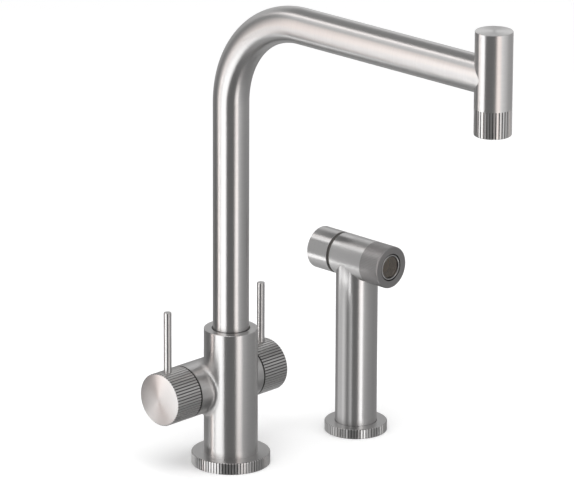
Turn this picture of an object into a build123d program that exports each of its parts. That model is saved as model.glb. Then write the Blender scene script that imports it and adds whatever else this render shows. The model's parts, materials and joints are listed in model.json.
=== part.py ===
from build123d import *

import os
from math import cos, degrees, pi, sin, sqrt

# Two-handle kitchen faucet of brushed stainless steel with a separate hand spray beside it.
# Millimetres. +Z is up and the deck is z = 0. The origin is on the column's axis, the spout points to -Y,
# the two valve handles lie on a bar along X, and the spray stands in its own flange on the +X side.

# ---------------------------------------------------------------- driving dimensions

# spout
pipe_r = 14.0
pipe_wall = 1.5
arm_z = 367.8
bend_r = 75.2
reach = 268.2
nozzle_r = 14.1
nozzle_wall = 2.1
nozzle_rise = 35.3
nozzle_lid = 4.0
nozzle_drop = 43.3
aerator_ring_h = 20.5
aerator_thread_r = 12.0
aerator_thread_l = 10.0
aerator_lip = 2.0
aerator_mouth_r = 9.5
aerator_screen_t = 0.6
aerator_mesh_hole = 2.0
aerator_mesh_pitch = 3.2
aerator_washer_t = 2.0

# column and base flange
column_r = 21.0
column_top = 110.3
flange_r = 30.8
flange_h = 9.2
flange_seat = 8.2
deck_seal_r = 26.0
deck_seal_w = 4.0
deck_seal_t = 2.0

# connection block in the column's foot
block_r = 17.0
block_top = 24.0
gasket_t = 1.5
stud_hole_r = 3.4
stud_hole_l = 16.0
port_circle_r = 11.5
port_thread_r = 4.5
port_thread_l = 8.0
water_r = 3.0
mix_channel_r = 2.4

# handle bar across the back of the column, with one valve at each end
bar_y = 17.8
bar_z = 61.5
bar_r = 20.85
bar_end = 34.1
bar_fillet = 6.0
knob_start = 35.1
knob_face = 60.4
valve_seat_x = 12.0
valve_seat_t = 2.0
valve_thread_r = 10.6
valve_skirt_r = 10.0
valve_chamber_r = 8.6
valve_chamber_l = 9.0
thread_relief = 2.0
valve_hex = 24.0
valve_hex_l = 4.0
valve_neck_r = 7.0
valve_neck_l = 2.9
disc_t = 3.0
disc_port_r = 2.2
disc_port_at = 4.6
spindle_r = 4.0
spindle_end = 47.4
spindle_ring_wire = 0.55
driver_l = 15.0
driver_w = 5.0
tongue_w = 3.0
tongue_l = 12.0
tongue_depth = 1.9
knob_recess_l = 6.4
glide_ring_w = 2.3
lever_x = 51.3
lever_r = 3.0
lever_top = 130.75
lever_thread_r = 2.5
lever_thread_l = 10.3
lever_seat = 2.3
grub_r = 2.0
grub_l = 8.0
key_depth = 2.0

# swivel joint in the column's top
socket_floor = 84.0
socket_r = 14.2
tail_l = 12.0
tail_spigot_l = 10.0
sleeve_t = 0.95
sleeve_drop = 0.5
swivel_limit = 75.0
stop_screw_r = 2.5
stop_tip_r = 1.0
o_ring_wire_r = 0.95
o_ring_gap = 3.3

# diverter in the column's central bore
mix_bore_r = 9.5
mix_bore_floor = 46.0
diverter_lid = 4.0
diverter_lip = 1.4
diverter_waist = 1.3
piston_r = 6.0
piston_skirt = 2.5
piston_stem_r = 4.4
piston_stem_l = 4.5
piston_seal_t = 1.5
piston_stroke = 3.8
diverter_port_r = 3.6
diverter_coil_r = 5.2
diverter_wire_r = 0.5
diverter_turns = 4

# hand spray
spray_x = 122.4
spray_y = -18.3
spray_flange_r = 24.8
spray_flange_h = 7.75
spray_seal_r = 23.3
spray_seal_w = 1.4
spray_seal_t = 1.2
spray_screw_circle_r = 20.5
spray_screw_r = 1.25
spray_screw_l = 5.0
liner_t = 1.0
liner_floor = 1.0
liner_lip_t = 2.0
liner_mouth_r = 13.0
liner_cover = 1.45
handle_r = 16.5
handle_wall = 2.2
handle_web = 1.5
head_z = 142.95
head_r = 16.7
head_wall = 3.0
head_back = -15.0
head_front = 18.0
spray_face_at = 36.6
button_back = -38.7
button_stroke = 2.5
button_stop_gap = 0.5
button_end_t = 3.0
guide_r = 15.2
guide_end = -32.0
guide_floor = -19.0
guide_pocket_r = 8.5
stem_r = 2.5
stem_boss_r = 4.5
stem_boss_l = 4.7
stem_head_r = 5.2
stem_head_t = 2.0
stem_ring_wire = 0.7
valve_seal_r = 6.0
valve_seal_t = 1.9
button_coil_r = 6.6
button_wire_r = 0.6
button_turns = 6
valve_block_back = -9.0
valve_room_r = 9.0
valve_room_half = 6.0
valve_web = 2.5
valve_hole_r = 4.0
valve_nose_r = 13.0
valve_nose_at = 27.0
spray_washer_t = 1.2
spray_core_r = 11.9
collar_lip = 3.0
spray_mouth_r = 9.8
screen_ring_r = 9.2
screen_r = 8.1
screen_ring_at = 36.2
screen_at = 35.2
screen_t = 0.6
screen_hole = 1.2
screen_pitch = 1.9
hose_thread_r = 7.0
hose_thread_l = 14.0
hose_web_r = 4.0
hose_web_t = 2.0
check_valve_r = 7.6
check_valve_l = 7.0
check_port_r = 1.5
check_port_at = 4.0
check_groove_at = 2.0
check_groove_w = 2.0
riser_r = 5.0
riser_wall = 1.0
riser_foot_l = 4.0

# knurling and edges
knurl_pitch = 2.4
knurl_depth = 0.55
fine_knurl_pitch = 1.2
fine_knurl_depth = 0.25
knurl_land = 0.45
edge = 0.8
fine_edge = 0.4

# clearances
running = 0.05
slip = 0.1
loose = 0.3

# ---------------------------------------------------------------- shapes that several pieces share

FOOT = (Align.CENTER, Align.CENTER, Align.MIN)
OVERCUT = 1.0


def disc(radius, low, high):
    """Solid cylinder about Z between two heights."""
    return Pos(0, 0, low) * Cylinder(radius, high - low, align=FOOT)


def ring(outer, inner, low, high):
    """Plain ring about Z."""
    return disc(outer, low, high) - disc(inner, low - OVERCUT, high + OVERCUT)


def turned(*outline):
    """Solid of revolution about Z from (radius, height) points."""
    return revolve(Plane.XZ * make_face(Polyline(*outline, close=True)), Axis.Z)


def bevelled(radius, low, high, low_edge, high_edge):
    """Cylinder about Z with a 45 degree chamfer of its own size at each end."""
    outline = [(0, low), (radius - low_edge, low)]
    if low_edge:
        outline.append((radius, low + low_edge))
    outline.append((radius, high - high_edge))
    if high_edge:
        outline.append((radius - high_edge, high))
    outline.append((0, high))
    return turned(*outline)


def knurled(radius, low, high, pitch, depth, low_edge, high_edge):
    """Cylinder with straight V grooves round its side, a whole number of them, and a chamfer at each end."""
    count = round(2 * pi * radius / pitch)
    flute_shape = ((0, 0), (knurl_land, 0), ((1 + knurl_land) / 2, depth))

    def outline(height, inset, cut):
        points = []
        for flute in range(count):
            for share, sink in flute_shape:
                angle = 2 * pi * (flute + share) / count
                r = radius - max(inset, sink if cut else 0)
                points.append((r * cos(angle), r * sin(angle)))
        return Pos(0, 0, height) * make_face(Polyline(*points, close=True))

    sections = [outline(low, low_edge, False)] if low_edge else []
    sections += [outline(low + low_edge, 0, True), outline(high - high_edge, 0, True)]
    sections += [outline(high, high_edge, False)] if high_edge else []
    return loft(sections, ruled=True)


def o_ring(radius, wire_r, height):
    """Rubber ring about Z, its round section drawn with eight sides."""
    section = Plane.XZ * Pos(radius, height) * RegularPolygon(wire_r, 8)
    return revolve(section, Axis.Z)


def drilling(start, end, radius):
    """Round water channel from one point to another."""
    run = Vector(*end) - Vector(*start)
    return Plane(origin=start, z_dir=run) * Cylinder(radius, run.length, align=FOOT)


def helix_point(radius, pitch, turns, low):
    """Point of a helix about Z after so many turns."""
    angle = 2 * pi * turns
    return Vector(radius * cos(angle), radius * sin(angle), low + pitch * turns)


def helix_tangent(radius, pitch, turns):
    """Unit tangent of that helix."""
    angle = 2 * pi * turns
    return Vector(-radius * sin(angle), radius * cos(angle), pitch / (2 * pi)).normalized()


def coil_path(radius, pitch, turns, low):
    """Helix as two tangent arcs for each quarter turn."""
    arcs = []
    quarters = round(turns * 4)
    for quarter in range(quarters):
        first, last = quarter / 4, (quarter + 1) / 4
        start, end = helix_point(radius, pitch, first, low), helix_point(radius, pitch, last, low)
        leave, arrive = helix_tangent(radius, pitch, first), helix_tangent(radius, pitch, last)
        chord = end - start
        both = leave + arrive
        # control length that lets both arcs meet with one tangent
        a = 4 - both.dot(both)
        b = 2 * chord.dot(both)
        reach_out = (sqrt(b * b + 4 * a * chord.dot(chord)) - b) / (2 * a)
        knee_a = start + leave * reach_out
        knee_b = end - arrive * reach_out
        middle = (knee_a + knee_b) * 0.5
        arcs.append(TangentArc(start, middle, tangent=leave))
        arcs.append(TangentArc(middle, end, tangent=knee_b - knee_a))
    return Wire(arcs)


def coil_spring(name, radius, wire_r, low, high, turns):
    """Square-wire compression spring between two flat seats, its ends ground flat on them."""
    pitch = (high - low - wire_r) / turns
    path = coil_path(radius, pitch, turns, low + wire_r / 2)
    section = Plane(origin=path @ 0, x_dir=(1, 0, 0), z_dir=path % 0) * Rectangle(2 * wire_r, 2 * wire_r)
    wire = sweep(section, path=path)
    samples = [helix_point(radius, pitch, step / 16, 0) for step in range(16 * turns + 1)]
    gap = min(
        (samples[i] - samples[j]).length for i in range(len(samples)) for j in range(i + 8, len(samples))
    )
    print(f"{name}: least gap between turns {gap - 2 * wire_r:.2f} mm")
    return wire & disc(radius + 2 * wire_r, low, high)


def perforated(radius, low, high, hole, pitch):
    """Disc with a square grid of square holes, as a woven screen or plate has."""
    plate = disc(radius, low, high)
    reach_out = int(radius / pitch)
    spots = [
        (i * pitch, j * pitch)
        for i in range(-reach_out, reach_out + 1)
        for j in range(-reach_out, reach_out + 1)
        if (abs(i) * pitch + hole / 2) ** 2 + (abs(j) * pitch + hole / 2) ** 2 < (radius - hole / 2) ** 2
    ]
    holes = Sketch() + [Pos(x, y) * Rectangle(hole, hole) for x, y in spots]
    return plate - Pos(0, 0, low - OVERCUT) * extrude(holes, high - low + 2 * OVERCUT)


def hexagon(across_flats, low, high):
    """Hexagonal prism about Z."""
    return Pos(0, 0, low) * extrude(RegularPolygon(across_flats / 2, 6, major_radius=False), high - low)


# ---------------------------------------------------------------- spout

nozzle_top = arm_z + nozzle_rise
outlet_z = arm_z - nozzle_drop
ring_top = outlet_z + aerator_ring_h
bend_start = arm_z - bend_r
pipe_bore_r = pipe_r - pipe_wall
pipe_foot = socket_floor + tail_l
nozzle_place = Pos(0, -reach, 0)


def spout_pipe():
    """Round tube: up, a quarter bend, and out to a saddle on the nozzle's side."""
    rise = Line((0, 0, pipe_foot), (0, 0, bend_start))
    bend = TangentArc((0, 0, bend_start), (0, -bend_r, arm_z), tangent=(0, 0, 1))
    arm = Line((0, -bend_r, arm_z), (0, -reach, arm_z))
    section = Pos(0, 0, pipe_foot) * (Circle(pipe_r) - Circle(pipe_bore_r))
    tube = sweep(section, path=Wire([rise, bend, arm]))
    return tube - nozzle_place * disc(nozzle_r, outlet_z, nozzle_top)


def spout_nozzle():
    """Upright tube with a lid, a side port for the arm and a threaded spigot for the aerator ring."""
    bore = nozzle_r - nozzle_wall
    spigot_bore = aerator_thread_r - pipe_wall
    shell = bevelled(nozzle_r, ring_top, nozzle_top, 0, fine_edge)
    shell += disc(aerator_thread_r, ring_top - aerator_thread_l, ring_top)
    shell -= disc(spigot_bore, ring_top - aerator_thread_l - OVERCUT, nozzle_top - nozzle_lid)
    shell -= disc(bore, ring_top + nozzle_wall, nozzle_top - nozzle_lid)
    port = Pos(0, 0, arm_z) * Rot(-90, 0, 0) * disc(pipe_bore_r - OVERCUT, 0, nozzle_r + OVERCUT)
    return nozzle_place * (shell - port)


aerator_seat = ring_top - aerator_thread_l - aerator_washer_t
aerator_core_r = aerator_thread_r - edge


def aerator_collar():
    """Knurled ring, flush with the nozzle, that holds the aerator up against its washer."""
    blank = knurled(nozzle_r, outlet_z, ring_top, knurl_pitch, knurl_depth, edge, 0)
    blank -= disc(aerator_thread_r, aerator_seat, ring_top + OVERCUT)
    blank -= disc(aerator_core_r, outlet_z + aerator_lip, ring_top)
    return nozzle_place * (blank - disc(aerator_mouth_r, outlet_z - OVERCUT, ring_top))


def aerator_screen():
    """Woven screen at the aerator's mouth."""
    low = outlet_z + aerator_lip
    return nozzle_place * perforated(
        aerator_core_r, low, low + aerator_screen_t, aerator_mesh_hole, aerator_mesh_pitch
    )


def aerator_insert():
    """Moulded flow core: a rim, a hub and eight spokes."""
    low = outlet_z + aerator_lip + aerator_screen_t
    rim = ring(aerator_core_r, aerator_core_r - 2 * edge, low, aerator_seat)
    hub = disc(water_r, low, aerator_seat)
    spoke = Pos(0, 0, low) * Box(2 * aerator_core_r - edge, edge, aerator_seat - low, align=FOOT)
    spokes = [Rot(0, 0, 45 * turn) * spoke for turn in range(4)]
    return nozzle_place * (rim + hub + spokes)


def aerator_washer():
    """Rubber washer between the aerator and the nozzle's spigot."""
    return nozzle_place * ring(
        aerator_thread_r, aerator_mouth_r, aerator_seat, aerator_seat + aerator_washer_t
    )


# ---------------------------------------------------------------- swivel joint

tail_foot = socket_floor + running
o_ring_heights = [tail_foot + o_ring_gap / 2 + i * o_ring_gap for i in range(2)]
stop_height = pipe_foot - stop_screw_r - loose
o_ring_r = socket_r - slip - o_ring_wire_r


def spout_tail():
    """Turned tail in the pipe's lower end, with two O-ring grooves and the slot that limits the swivel."""
    tail = disc(pipe_r, tail_foot, pipe_foot) + disc(pipe_bore_r, pipe_foot, pipe_foot + tail_spigot_l)
    tail -= disc(pipe_bore_r - pipe_wall, tail_foot - OVERCUT, pipe_foot + tail_spigot_l + OVERCUT)
    groove_r = o_ring_r - o_ring_wire_r
    for height in o_ring_heights:
        tail -= ring(pipe_r + OVERCUT, groove_r, height - o_ring_wire_r, height + o_ring_wire_r)
    slot_half = stop_tip_r + slip
    sweep_half = swivel_limit + degrees(slot_half / groove_r)
    band = Plane.XZ * Pos((groove_r + pipe_r + OVERCUT) / 2, stop_height) * Rectangle(
        pipe_r + OVERCUT - groove_r, 2 * slot_half
    )
    slot = Rot(0, 0, 90 - sweep_half) * revolve(band, Axis.Z, 2 * sweep_half)
    return tail - slot


def spout_o_rings():
    """Two O-rings on the tail."""
    return Compound(children=[o_ring(o_ring_r, o_ring_wire_r, height) for height in o_ring_heights])


def spout_sleeve():
    """Thin dark glide sleeve between the column's mouth and the pipe."""
    inner = pipe_r + running
    return ring(inner + sleeve_t, inner, pipe_foot, column_top - sleeve_drop)


def stop_screw():
    """Dog-point screw in the column's back whose tip runs in the tail's slot."""
    tip_at = o_ring_r - o_ring_wire_r + slip
    screw = disc(stop_screw_r, socket_r + slip, column_r - edge) + disc(stop_tip_r, tip_at, socket_r + slip)
    screw -= hexagon(stop_screw_r, column_r - edge - key_depth, column_r)
    return Pos(0, 0, stop_height) * Rot(-90, 0, 0) * screw


# ---------------------------------------------------------------- column with the handle bar

gasket_top = block_top + gasket_t
port_angles = {"hot": 150.0, "cold": 30.0, "spray": -90.0}
pocket_r = 5 / 3 * water_r
mix_channel_y = mix_bore_r - mix_channel_r / 2
skirt_start = valve_seat_x + valve_seat_t


def port_place(name):
    """Centre of one of the three ports on the connection block's circle."""
    angle = port_angles[name] * pi / 180
    return port_circle_r * cos(angle), port_circle_r * sin(angle)


def along_bar(side):
    """Frame of one end of the bar: local Z points out along the bar, local X points up."""
    return Plane(origin=(0, bar_y, bar_z), x_dir=(0, 0, 1), z_dir=(side, 0, 0))


def mixer_body():
    """Cast column and handle bar with a run-out fillet between them, and the waterways inside."""
    column = bevelled(column_r, flange_seat, column_top, 0, fine_edge)
    bar = along_bar(1) * disc(bar_r, -bar_end, bar_end)
    body = column + bar
    seam = [e for e in body.edges() if e.geom_type not in (GeomType.CIRCLE, GeomType.LINE)]
    body = fillet(seam, bar_fillet)
    # foot for the connection block, central bore, and the socket of the swivel joint
    body -= disc(block_r, flange_seat - OVERCUT, gasket_top)
    body -= disc(mix_bore_r, mix_bore_floor, socket_floor + OVERCUT)
    body -= disc(socket_r, socket_floor, column_top)
    body -= disc(pipe_r + running + sleeve_t, pipe_foot, column_top + OVERCUT)
    stop_hole = disc(stop_screw_r, socket_r - OVERCUT, column_r + OVERCUT)
    body -= Pos(0, 0, stop_height) * Rot(-90, 0, 0) * stop_hole
    for side, name in ((-1, "hot"), (1, "cold")):
        body -= along_bar(side) * disc(valve_thread_r, valve_seat_x, bar_end + OVERCUT)
        body -= along_bar(side) * disc(pocket_r, valve_seat_x - pocket_r, valve_seat_x)
        x, y = port_place(name)
        pocket = (side * (valve_seat_x - pocket_r / 2), bar_y, bar_z)
        body -= drilling((x, y, gasket_top), pocket, water_r)
        mixing_end = (side * skirt_start, mix_channel_y, bar_z)
        body -= drilling((0, mix_channel_y, bar_z), mixing_end, mix_channel_r)
    x, y = port_place("spray")
    body -= drilling((x, y, gasket_top), (0, -mix_bore_r / 2, mix_bore_floor + water_r), water_r)
    return body


def base_flange():
    """Knurled deck flange with a shallow seat on top for the column's foot."""
    blank = knurled(flange_r, 0, flange_h, knurl_pitch, knurl_depth, 0, edge)
    blank -= disc(column_r, flange_seat, flange_h + OVERCUT)
    blank -= disc(block_r, -OVERCUT, flange_seat + OVERCUT)
    half = deck_seal_w / 2
    return blank - ring(deck_seal_r + half, deck_seal_r - half, -OVERCUT, deck_seal_t)


def base_seal():
    """Rubber ring in the groove under the base flange."""
    half = deck_seal_w / 2
    return ring(deck_seal_r + half, deck_seal_r - half, 0, deck_seal_t)


def inlet_block():
    """Brass connection block: tapped hole for the fixing stud and three tapped water ports underneath."""
    block = disc(block_r, 0, block_top)
    block -= disc(stud_hole_r, -OVERCUT, stud_hole_l)
    for name in port_angles:
        x, y = port_place(name)
        block -= Pos(x, y) * disc(port_thread_r, -OVERCUT, port_thread_l)
        block -= Pos(x, y) * disc(water_r, 0, block_top + OVERCUT)
    return block


def block_gasket():
    """Rubber gasket between the connection block and the cast body."""
    gasket = disc(block_r, block_top, gasket_top)
    for name in port_angles:
        x, y = port_place(name)
        gasket -= Pos(x, y) * disc(water_r + slip, block_top - OVERCUT, gasket_top + OVERCUT)
    return gasket


# ---------------------------------------------------------------- one valve and its handle

disc_face = skirt_start + disc_t
moving_start = disc_face + running
moving_end = moving_start + disc_t
chamber_end = skirt_start + valve_chamber_l
hex_end = bar_end + valve_hex_l
neck_end = hex_end + valve_neck_l
knob_recess_end = knob_start + knob_recess_l
knob_recess_r = valve_hex / sqrt(3) + 2 * loose
spindle_groove = (bar_end + chamber_end) / 2
spindle_ring_r = spindle_r - spindle_ring_wire
grub_at = (knob_recess_end + spindle_end) / 2


def seat_seal():
    """Rubber ring that seals the valve's end on its seat."""
    return ring(valve_skirt_r, pocket_r, valve_seat_x, skirt_start)


def fixed_disc():
    """Ceramic disc held in the cartridge's skirt, with two ports one above the other."""
    plate = disc(valve_chamber_r, skirt_start, disc_face)
    for way in (-1, 1):
        plate -= Pos(way * disc_port_at, 0) * disc(disc_port_r, skirt_start - OVERCUT, disc_face + OVERCUT)
    return plate


def moving_disc():
    """Ceramic disc turned by the spindle. Its ports lie a quarter turn from the fixed disc's when shut."""
    plate = disc(valve_chamber_r - 2 * slip, moving_start, moving_end)
    for way in (-1, 1):
        plate -= Pos(0, way * disc_port_at) * disc(disc_port_r, moving_start - OVERCUT, moving_end + OVERCUT)
    slot = Box(tongue_l, tongue_w, tongue_depth + OVERCUT, align=FOOT)
    return plate - Pos(0, 0, moving_end - tongue_depth) * slot


def cartridge_body():
    """Brass head of the ceramic disc valve: skirt with two side windows, thread, hexagon and neck."""
    body = disc(valve_skirt_r, skirt_start, bar_end) + disc(valve_thread_r, chamber_end + thread_relief, bar_end)
    body += hexagon(valve_hex, bar_end, hex_end) + disc(valve_neck_r, hex_end, neck_end)
    body -= disc(valve_chamber_r, skirt_start - OVERCUT, chamber_end)
    body -= disc(spindle_r + running, chamber_end - OVERCUT, neck_end + OVERCUT)
    window = Box(2 * (valve_skirt_r + OVERCUT), 2 * disc_port_at, chamber_end - moving_end, align=FOOT)
    return body - Pos(0, 0, moving_end) * window


def spindle():
    """Valve spindle: a driver bar with a tongue in the moving disc, an O-ring groove and the knob's end."""
    rod = bevelled(spindle_r, moving_end, spindle_end, 0, fine_edge)
    driver = Box(driver_l, driver_w, chamber_end - slip - moving_end, align=FOOT)
    tongue = Box(tongue_l, tongue_w, tongue_depth, align=FOOT)
    rod += Pos(0, 0, moving_end) * driver
    rod += Pos(0, 0, moving_end - tongue_depth) * tongue
    return rod - ring(
        spindle_r + OVERCUT,
        spindle_r - 2 * spindle_ring_wire,
        spindle_groove - spindle_ring_wire,
        spindle_groove + spindle_ring_wire,
    )


def spindle_o_ring():
    """O-ring in the spindle's groove."""
    return o_ring(spindle_ring_r, spindle_ring_wire, spindle_groove)


def glide_ring():
    """Dark ring in the joint between the bar's end and the knob."""
    outer = bar_r - knurl_depth
    return ring(outer, outer - glide_ring_w, bar_end, knob_start - slip)


def knob():
    """Knurled knob with a flat face, a spot-faced hole for the lever and a socket for the spindle."""
    blank = knurled(bar_r, knob_start, knob_face, knurl_pitch, knurl_depth, 0, edge)
    blank -= disc(knob_recess_r, knob_start - OVERCUT, knob_recess_end)
    blank -= disc(spindle_r, knob_recess_end - OVERCUT, spindle_end)
    upright = Pos(0, 0, lever_x) * Rot(0, 90, 0)
    seat = bar_r - lever_seat
    blank -= upright * disc(lever_thread_r, seat - lever_thread_l, bar_r)
    blank -= upright * disc(lever_r, seat, bar_r + OVERCUT)
    blank -= upright * disc(lever_r + edge, bar_r - edge, bar_r + OVERCUT)
    downward = Pos(0, 0, grub_at) * Rot(0, -90, 0)
    return blank - downward * disc(grub_r, spindle_r - OVERCUT, bar_r + OVERCUT)


def lever():
    """Slim round lever with a threaded foot screwed into the knob."""
    seat = bar_r - lever_seat
    rod = bevelled(lever_r, seat, lever_top - bar_z, 0, fine_edge)
    rod += disc(lever_thread_r, seat - lever_thread_l, seat)
    return Pos(0, 0, lever_x) * Rot(0, 90, 0) * rod


def grub_screw():
    """Socket screw that clamps the knob on the spindle, at the underside."""
    outer = spindle_r + grub_l
    screw = disc(grub_r, spindle_r, outer) - hexagon(grub_r, outer - key_depth, outer + OVERCUT)
    return Pos(0, 0, grub_at) * Rot(0, -90, 0) * screw


# ---------------------------------------------------------------- diverter

diverter_bore_r = piston_r + running
diverter_roof = socket_floor - diverter_lid
shoulder = diverter_roof - 2 * slip - piston_stroke - piston_seal_t - piston_stem_l
piston_foot = shoulder - piston_skirt
diverter_foot = piston_foot - slip - diverter_lip
window_h = piston_stroke - 2 * slip


def diverter_body():
    """Turned cage in the central bore: a guide for the piston, a waist with windows and the spout's port."""
    lid_top = socket_floor
    cage = disc(mix_bore_r, diverter_foot, lid_top)
    cage -= ring(
        mix_bore_r + OVERCUT, mix_bore_r - diverter_waist, diverter_foot + piston_skirt, diverter_roof
    )
    cage -= disc(diverter_bore_r, diverter_foot + diverter_lip, diverter_roof)
    cage -= disc(diverter_port_r, diverter_foot - OVERCUT, lid_top + OVERCUT)
    slot = Box(2 * (mix_bore_r + OVERCUT), 2 * water_r, window_h, align=FOOT)
    for turn in (0, 90):
        cage -= Rot(0, 0, turn) * Pos(0, 0, diverter_roof - window_h) * slot
        for way in (0, 180):
            notch = Pos(mix_bore_r, 0, diverter_foot - OVERCUT) * Box(
                2 * diverter_waist, 2 * water_r, piston_skirt + 2 * OVERCUT, align=FOOT
            )
            cage -= Rot(0, 0, turn + way) * notch
    return cage


def diverter_piston():
    """Moulded piston: a skirt in the cage and a stem inside the spring."""
    piston = disc(piston_r, piston_foot, shoulder)
    piston += disc(piston_stem_r, shoulder, shoulder + piston_stem_l)
    return piston - disc(piston_stem_r - pipe_wall, piston_foot - OVERCUT, shoulder + piston_stem_l / 2)


def diverter_seal():
    """Rubber disc on the piston that closes the spout's port."""
    low = shoulder + piston_stem_l
    return disc(piston_stem_r, low, low + piston_seal_t)


def diverter_spring():
    """Spring that holds the piston down, off the port."""
    return coil_spring(
        "diverter_spring", diverter_coil_r, diverter_wire_r, shoulder, diverter_roof, diverter_turns
    )


# ---------------------------------------------------------------- hand spray

spray_place = Pos(spray_x, spray_y, 0)
head_frame = Plane(origin=(spray_x, spray_y, head_z), x_dir=(1, 0, 0), z_dir=(0, -1, 0))
liner_bore_r = handle_r + loose
liner_r = liner_bore_r + liner_t
handle_foot = liner_floor + liner_lip_t + slip
handle_bore_r = handle_r - handle_wall
head_bore_r = head_r - head_wall
handle_bore_top = head_z - head_r - handle_web
button_front = head_back - button_stroke - button_stop_gap
button_wall_at = button_back + button_end_t
seat_face = valve_room_half + valve_web
washer_end = valve_nose_at + spray_washer_t
collar_wall_at = spray_face_at - collar_lip
socket_top = handle_foot + hose_thread_l + hose_web_t + check_valve_l + riser_foot_l
riser_top = head_z - valve_room_r - slip
stem_ring_r = stem_r + slip + stem_ring_wire


def spray_flange():
    """Knurled deck flange that the spray stands in, with three tapped holes underneath."""
    blank = knurled(spray_flange_r, 0, spray_flange_h, knurl_pitch, knurl_depth, 0, edge)
    blank -= disc(liner_r, -OVERCUT, spray_flange_h - liner_cover)
    blank -= disc(liner_bore_r, -OVERCUT, spray_flange_h + OVERCUT)
    half = spray_seal_w / 2
    blank -= ring(spray_seal_r + half, spray_seal_r - half, -OVERCUT, spray_seal_t)
    for turn in range(3):
        hole = Pos(spray_screw_circle_r, 0) * disc(spray_screw_r, -OVERCUT, spray_screw_l)
        blank -= Rot(0, 0, 90 + 120 * turn) * hole
    return spray_place * blank


def spray_liner():
    """Dark moulded socket in the flange. The handle's foot rests on its lip; the hose passes its mouth."""
    cup = ring(liner_r, liner_bore_r, liner_floor, spray_flange_h - liner_cover)
    return spray_place * (cup + ring(liner_r, liner_mouth_r, liner_floor, liner_floor + liner_lip_t))


def spray_seal():
    """Rubber ring under the spray's flange."""
    half = spray_seal_w / 2
    return spray_place * ring(spray_seal_r + half, spray_seal_r - half, 0, spray_seal_t)


def spray_body():
    """Welded shell of the hand spray: the upright handle tube and the cross tube of the head."""
    handle = bevelled(handle_r, handle_foot, head_z, fine_edge, 0)
    head = head_frame * disc(head_r, head_back, head_front)
    shell = spray_place * handle + head
    # the handle's crest is dressed back flush with the head, clear of the button
    shell -= head_frame * disc(head_r + loose, button_front - OVERCUT, head_back)
    shell -= spray_place * disc(handle_bore_r, handle_foot - OVERCUT, handle_bore_top)
    shell -= spray_place * disc(riser_r, handle_bore_top - OVERCUT, head_z)
    return shell - head_frame * disc(head_bore_r, head_back - OVERCUT, head_front + OVERCUT)


def hose_socket():
    """Brass socket in the handle's foot, tapped for the hose, with the check valve's room above."""
    socket = disc(handle_bore_r, handle_foot, socket_top)
    web = handle_foot + hose_thread_l
    socket -= disc(hose_thread_r, handle_foot - OVERCUT, web)
    socket -= disc(hose_web_r, web - OVERCUT, web + hose_web_t + OVERCUT)
    return spray_place * (socket - disc(check_valve_r, web + hose_web_t, socket_top + OVERCUT))


def check_valve():
    """Moulded non-return cartridge."""
    low = handle_foot + hose_thread_l + hose_web_t
    body = bevelled(check_valve_r, low, low + check_valve_l, fine_edge, fine_edge)
    groove = low + check_groove_at
    body -= ring(check_valve_r + OVERCUT, check_valve_r - edge, groove, groove + check_groove_w)
    for turn in range(4):
        port = disc(check_port_r, low - OVERCUT, low + check_valve_l + OVERCUT)
        body -= Rot(0, 0, 90 * turn) * Pos(check_port_at, 0) * port
    return spray_place * body


def riser_tube():
    """Inner water tube from the socket up to the valve in the head."""
    low = socket_top - riser_foot_l
    tube = disc(check_valve_r, low, socket_top) + disc(riser_r, socket_top, riser_top)
    return spray_place * (tube - disc(riser_r - riser_wall, low - OVERCUT, riser_top + OVERCUT))


def valve_block():
    """Brass valve body in the head: inlet room over the riser, seat, outlet room and a threaded nose."""
    block = disc(head_bore_r, valve_block_back, head_front) + disc(valve_nose_r, head_front, valve_nose_at)
    block -= disc(valve_room_r, -valve_room_half, valve_room_half)
    block -= disc(valve_room_r, seat_face, valve_nose_at + OVERCUT)
    block -= disc(valve_hole_r, valve_room_half - OVERCUT, seat_face + OVERCUT)
    block -= disc(stem_r + running, valve_block_back - OVERCUT, 0)
    ring_room = stem_ring_r + stem_ring_wire
    block -= disc(ring_room, valve_block_back - OVERCUT, valve_block_back + 2 * stem_ring_wire)
    # the local -Y side faces down, where the riser comes in
    block -= Rot(90, 0, 0) * disc(riser_r, 0, head_bore_r + OVERCUT)
    return head_frame * block


def stem_o_ring():
    """O-ring round the stem at the valve body's back."""
    return head_frame * o_ring(stem_ring_r, stem_ring_wire, valve_block_back + stem_ring_wire)


def button_guide():
    """Dark moulded guide in the head's back end, which the button slides on."""
    guide = disc(head_bore_r, head_back, valve_block_back) + disc(guide_r, guide_end, head_back)
    guide -= disc(guide_pocket_r, guide_end - OVERCUT, guide_floor)
    return head_frame * (guide - disc(stem_r + running, guide_end, valve_block_back + OVERCUT))


def spray_button():
    """Steel push cap on the head's back end, with a boss for the stem."""
    cap = bevelled(head_r, button_back, button_front, fine_edge, 0)
    cap -= disc(guide_r + slip, button_wall_at, button_front + OVERCUT)
    cap += disc(stem_boss_r, button_wall_at, button_wall_at + stem_boss_l)
    return head_frame * (cap - disc(stem_r, button_wall_at, button_wall_at + stem_boss_l + OVERCUT))


def button_stem():
    """Valve stem from the button to the seal's backing flange."""
    seal_end = seat_face + slip + valve_seal_t
    stem = disc(stem_r, button_wall_at, seal_end)
    return head_frame * (stem + disc(stem_head_r, seal_end, seal_end + stem_head_t))


def valve_seal():
    """Rubber disc on the stem that closes the seat."""
    low = seat_face + slip
    return head_frame * ring(valve_seal_r, stem_r, low, low + valve_seal_t)


def button_spring():
    """Return spring between the guide's floor and the button."""
    return head_frame * coil_spring(
        "button_spring", button_coil_r, button_wire_r, button_wall_at, guide_floor, button_turns
    )


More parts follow.
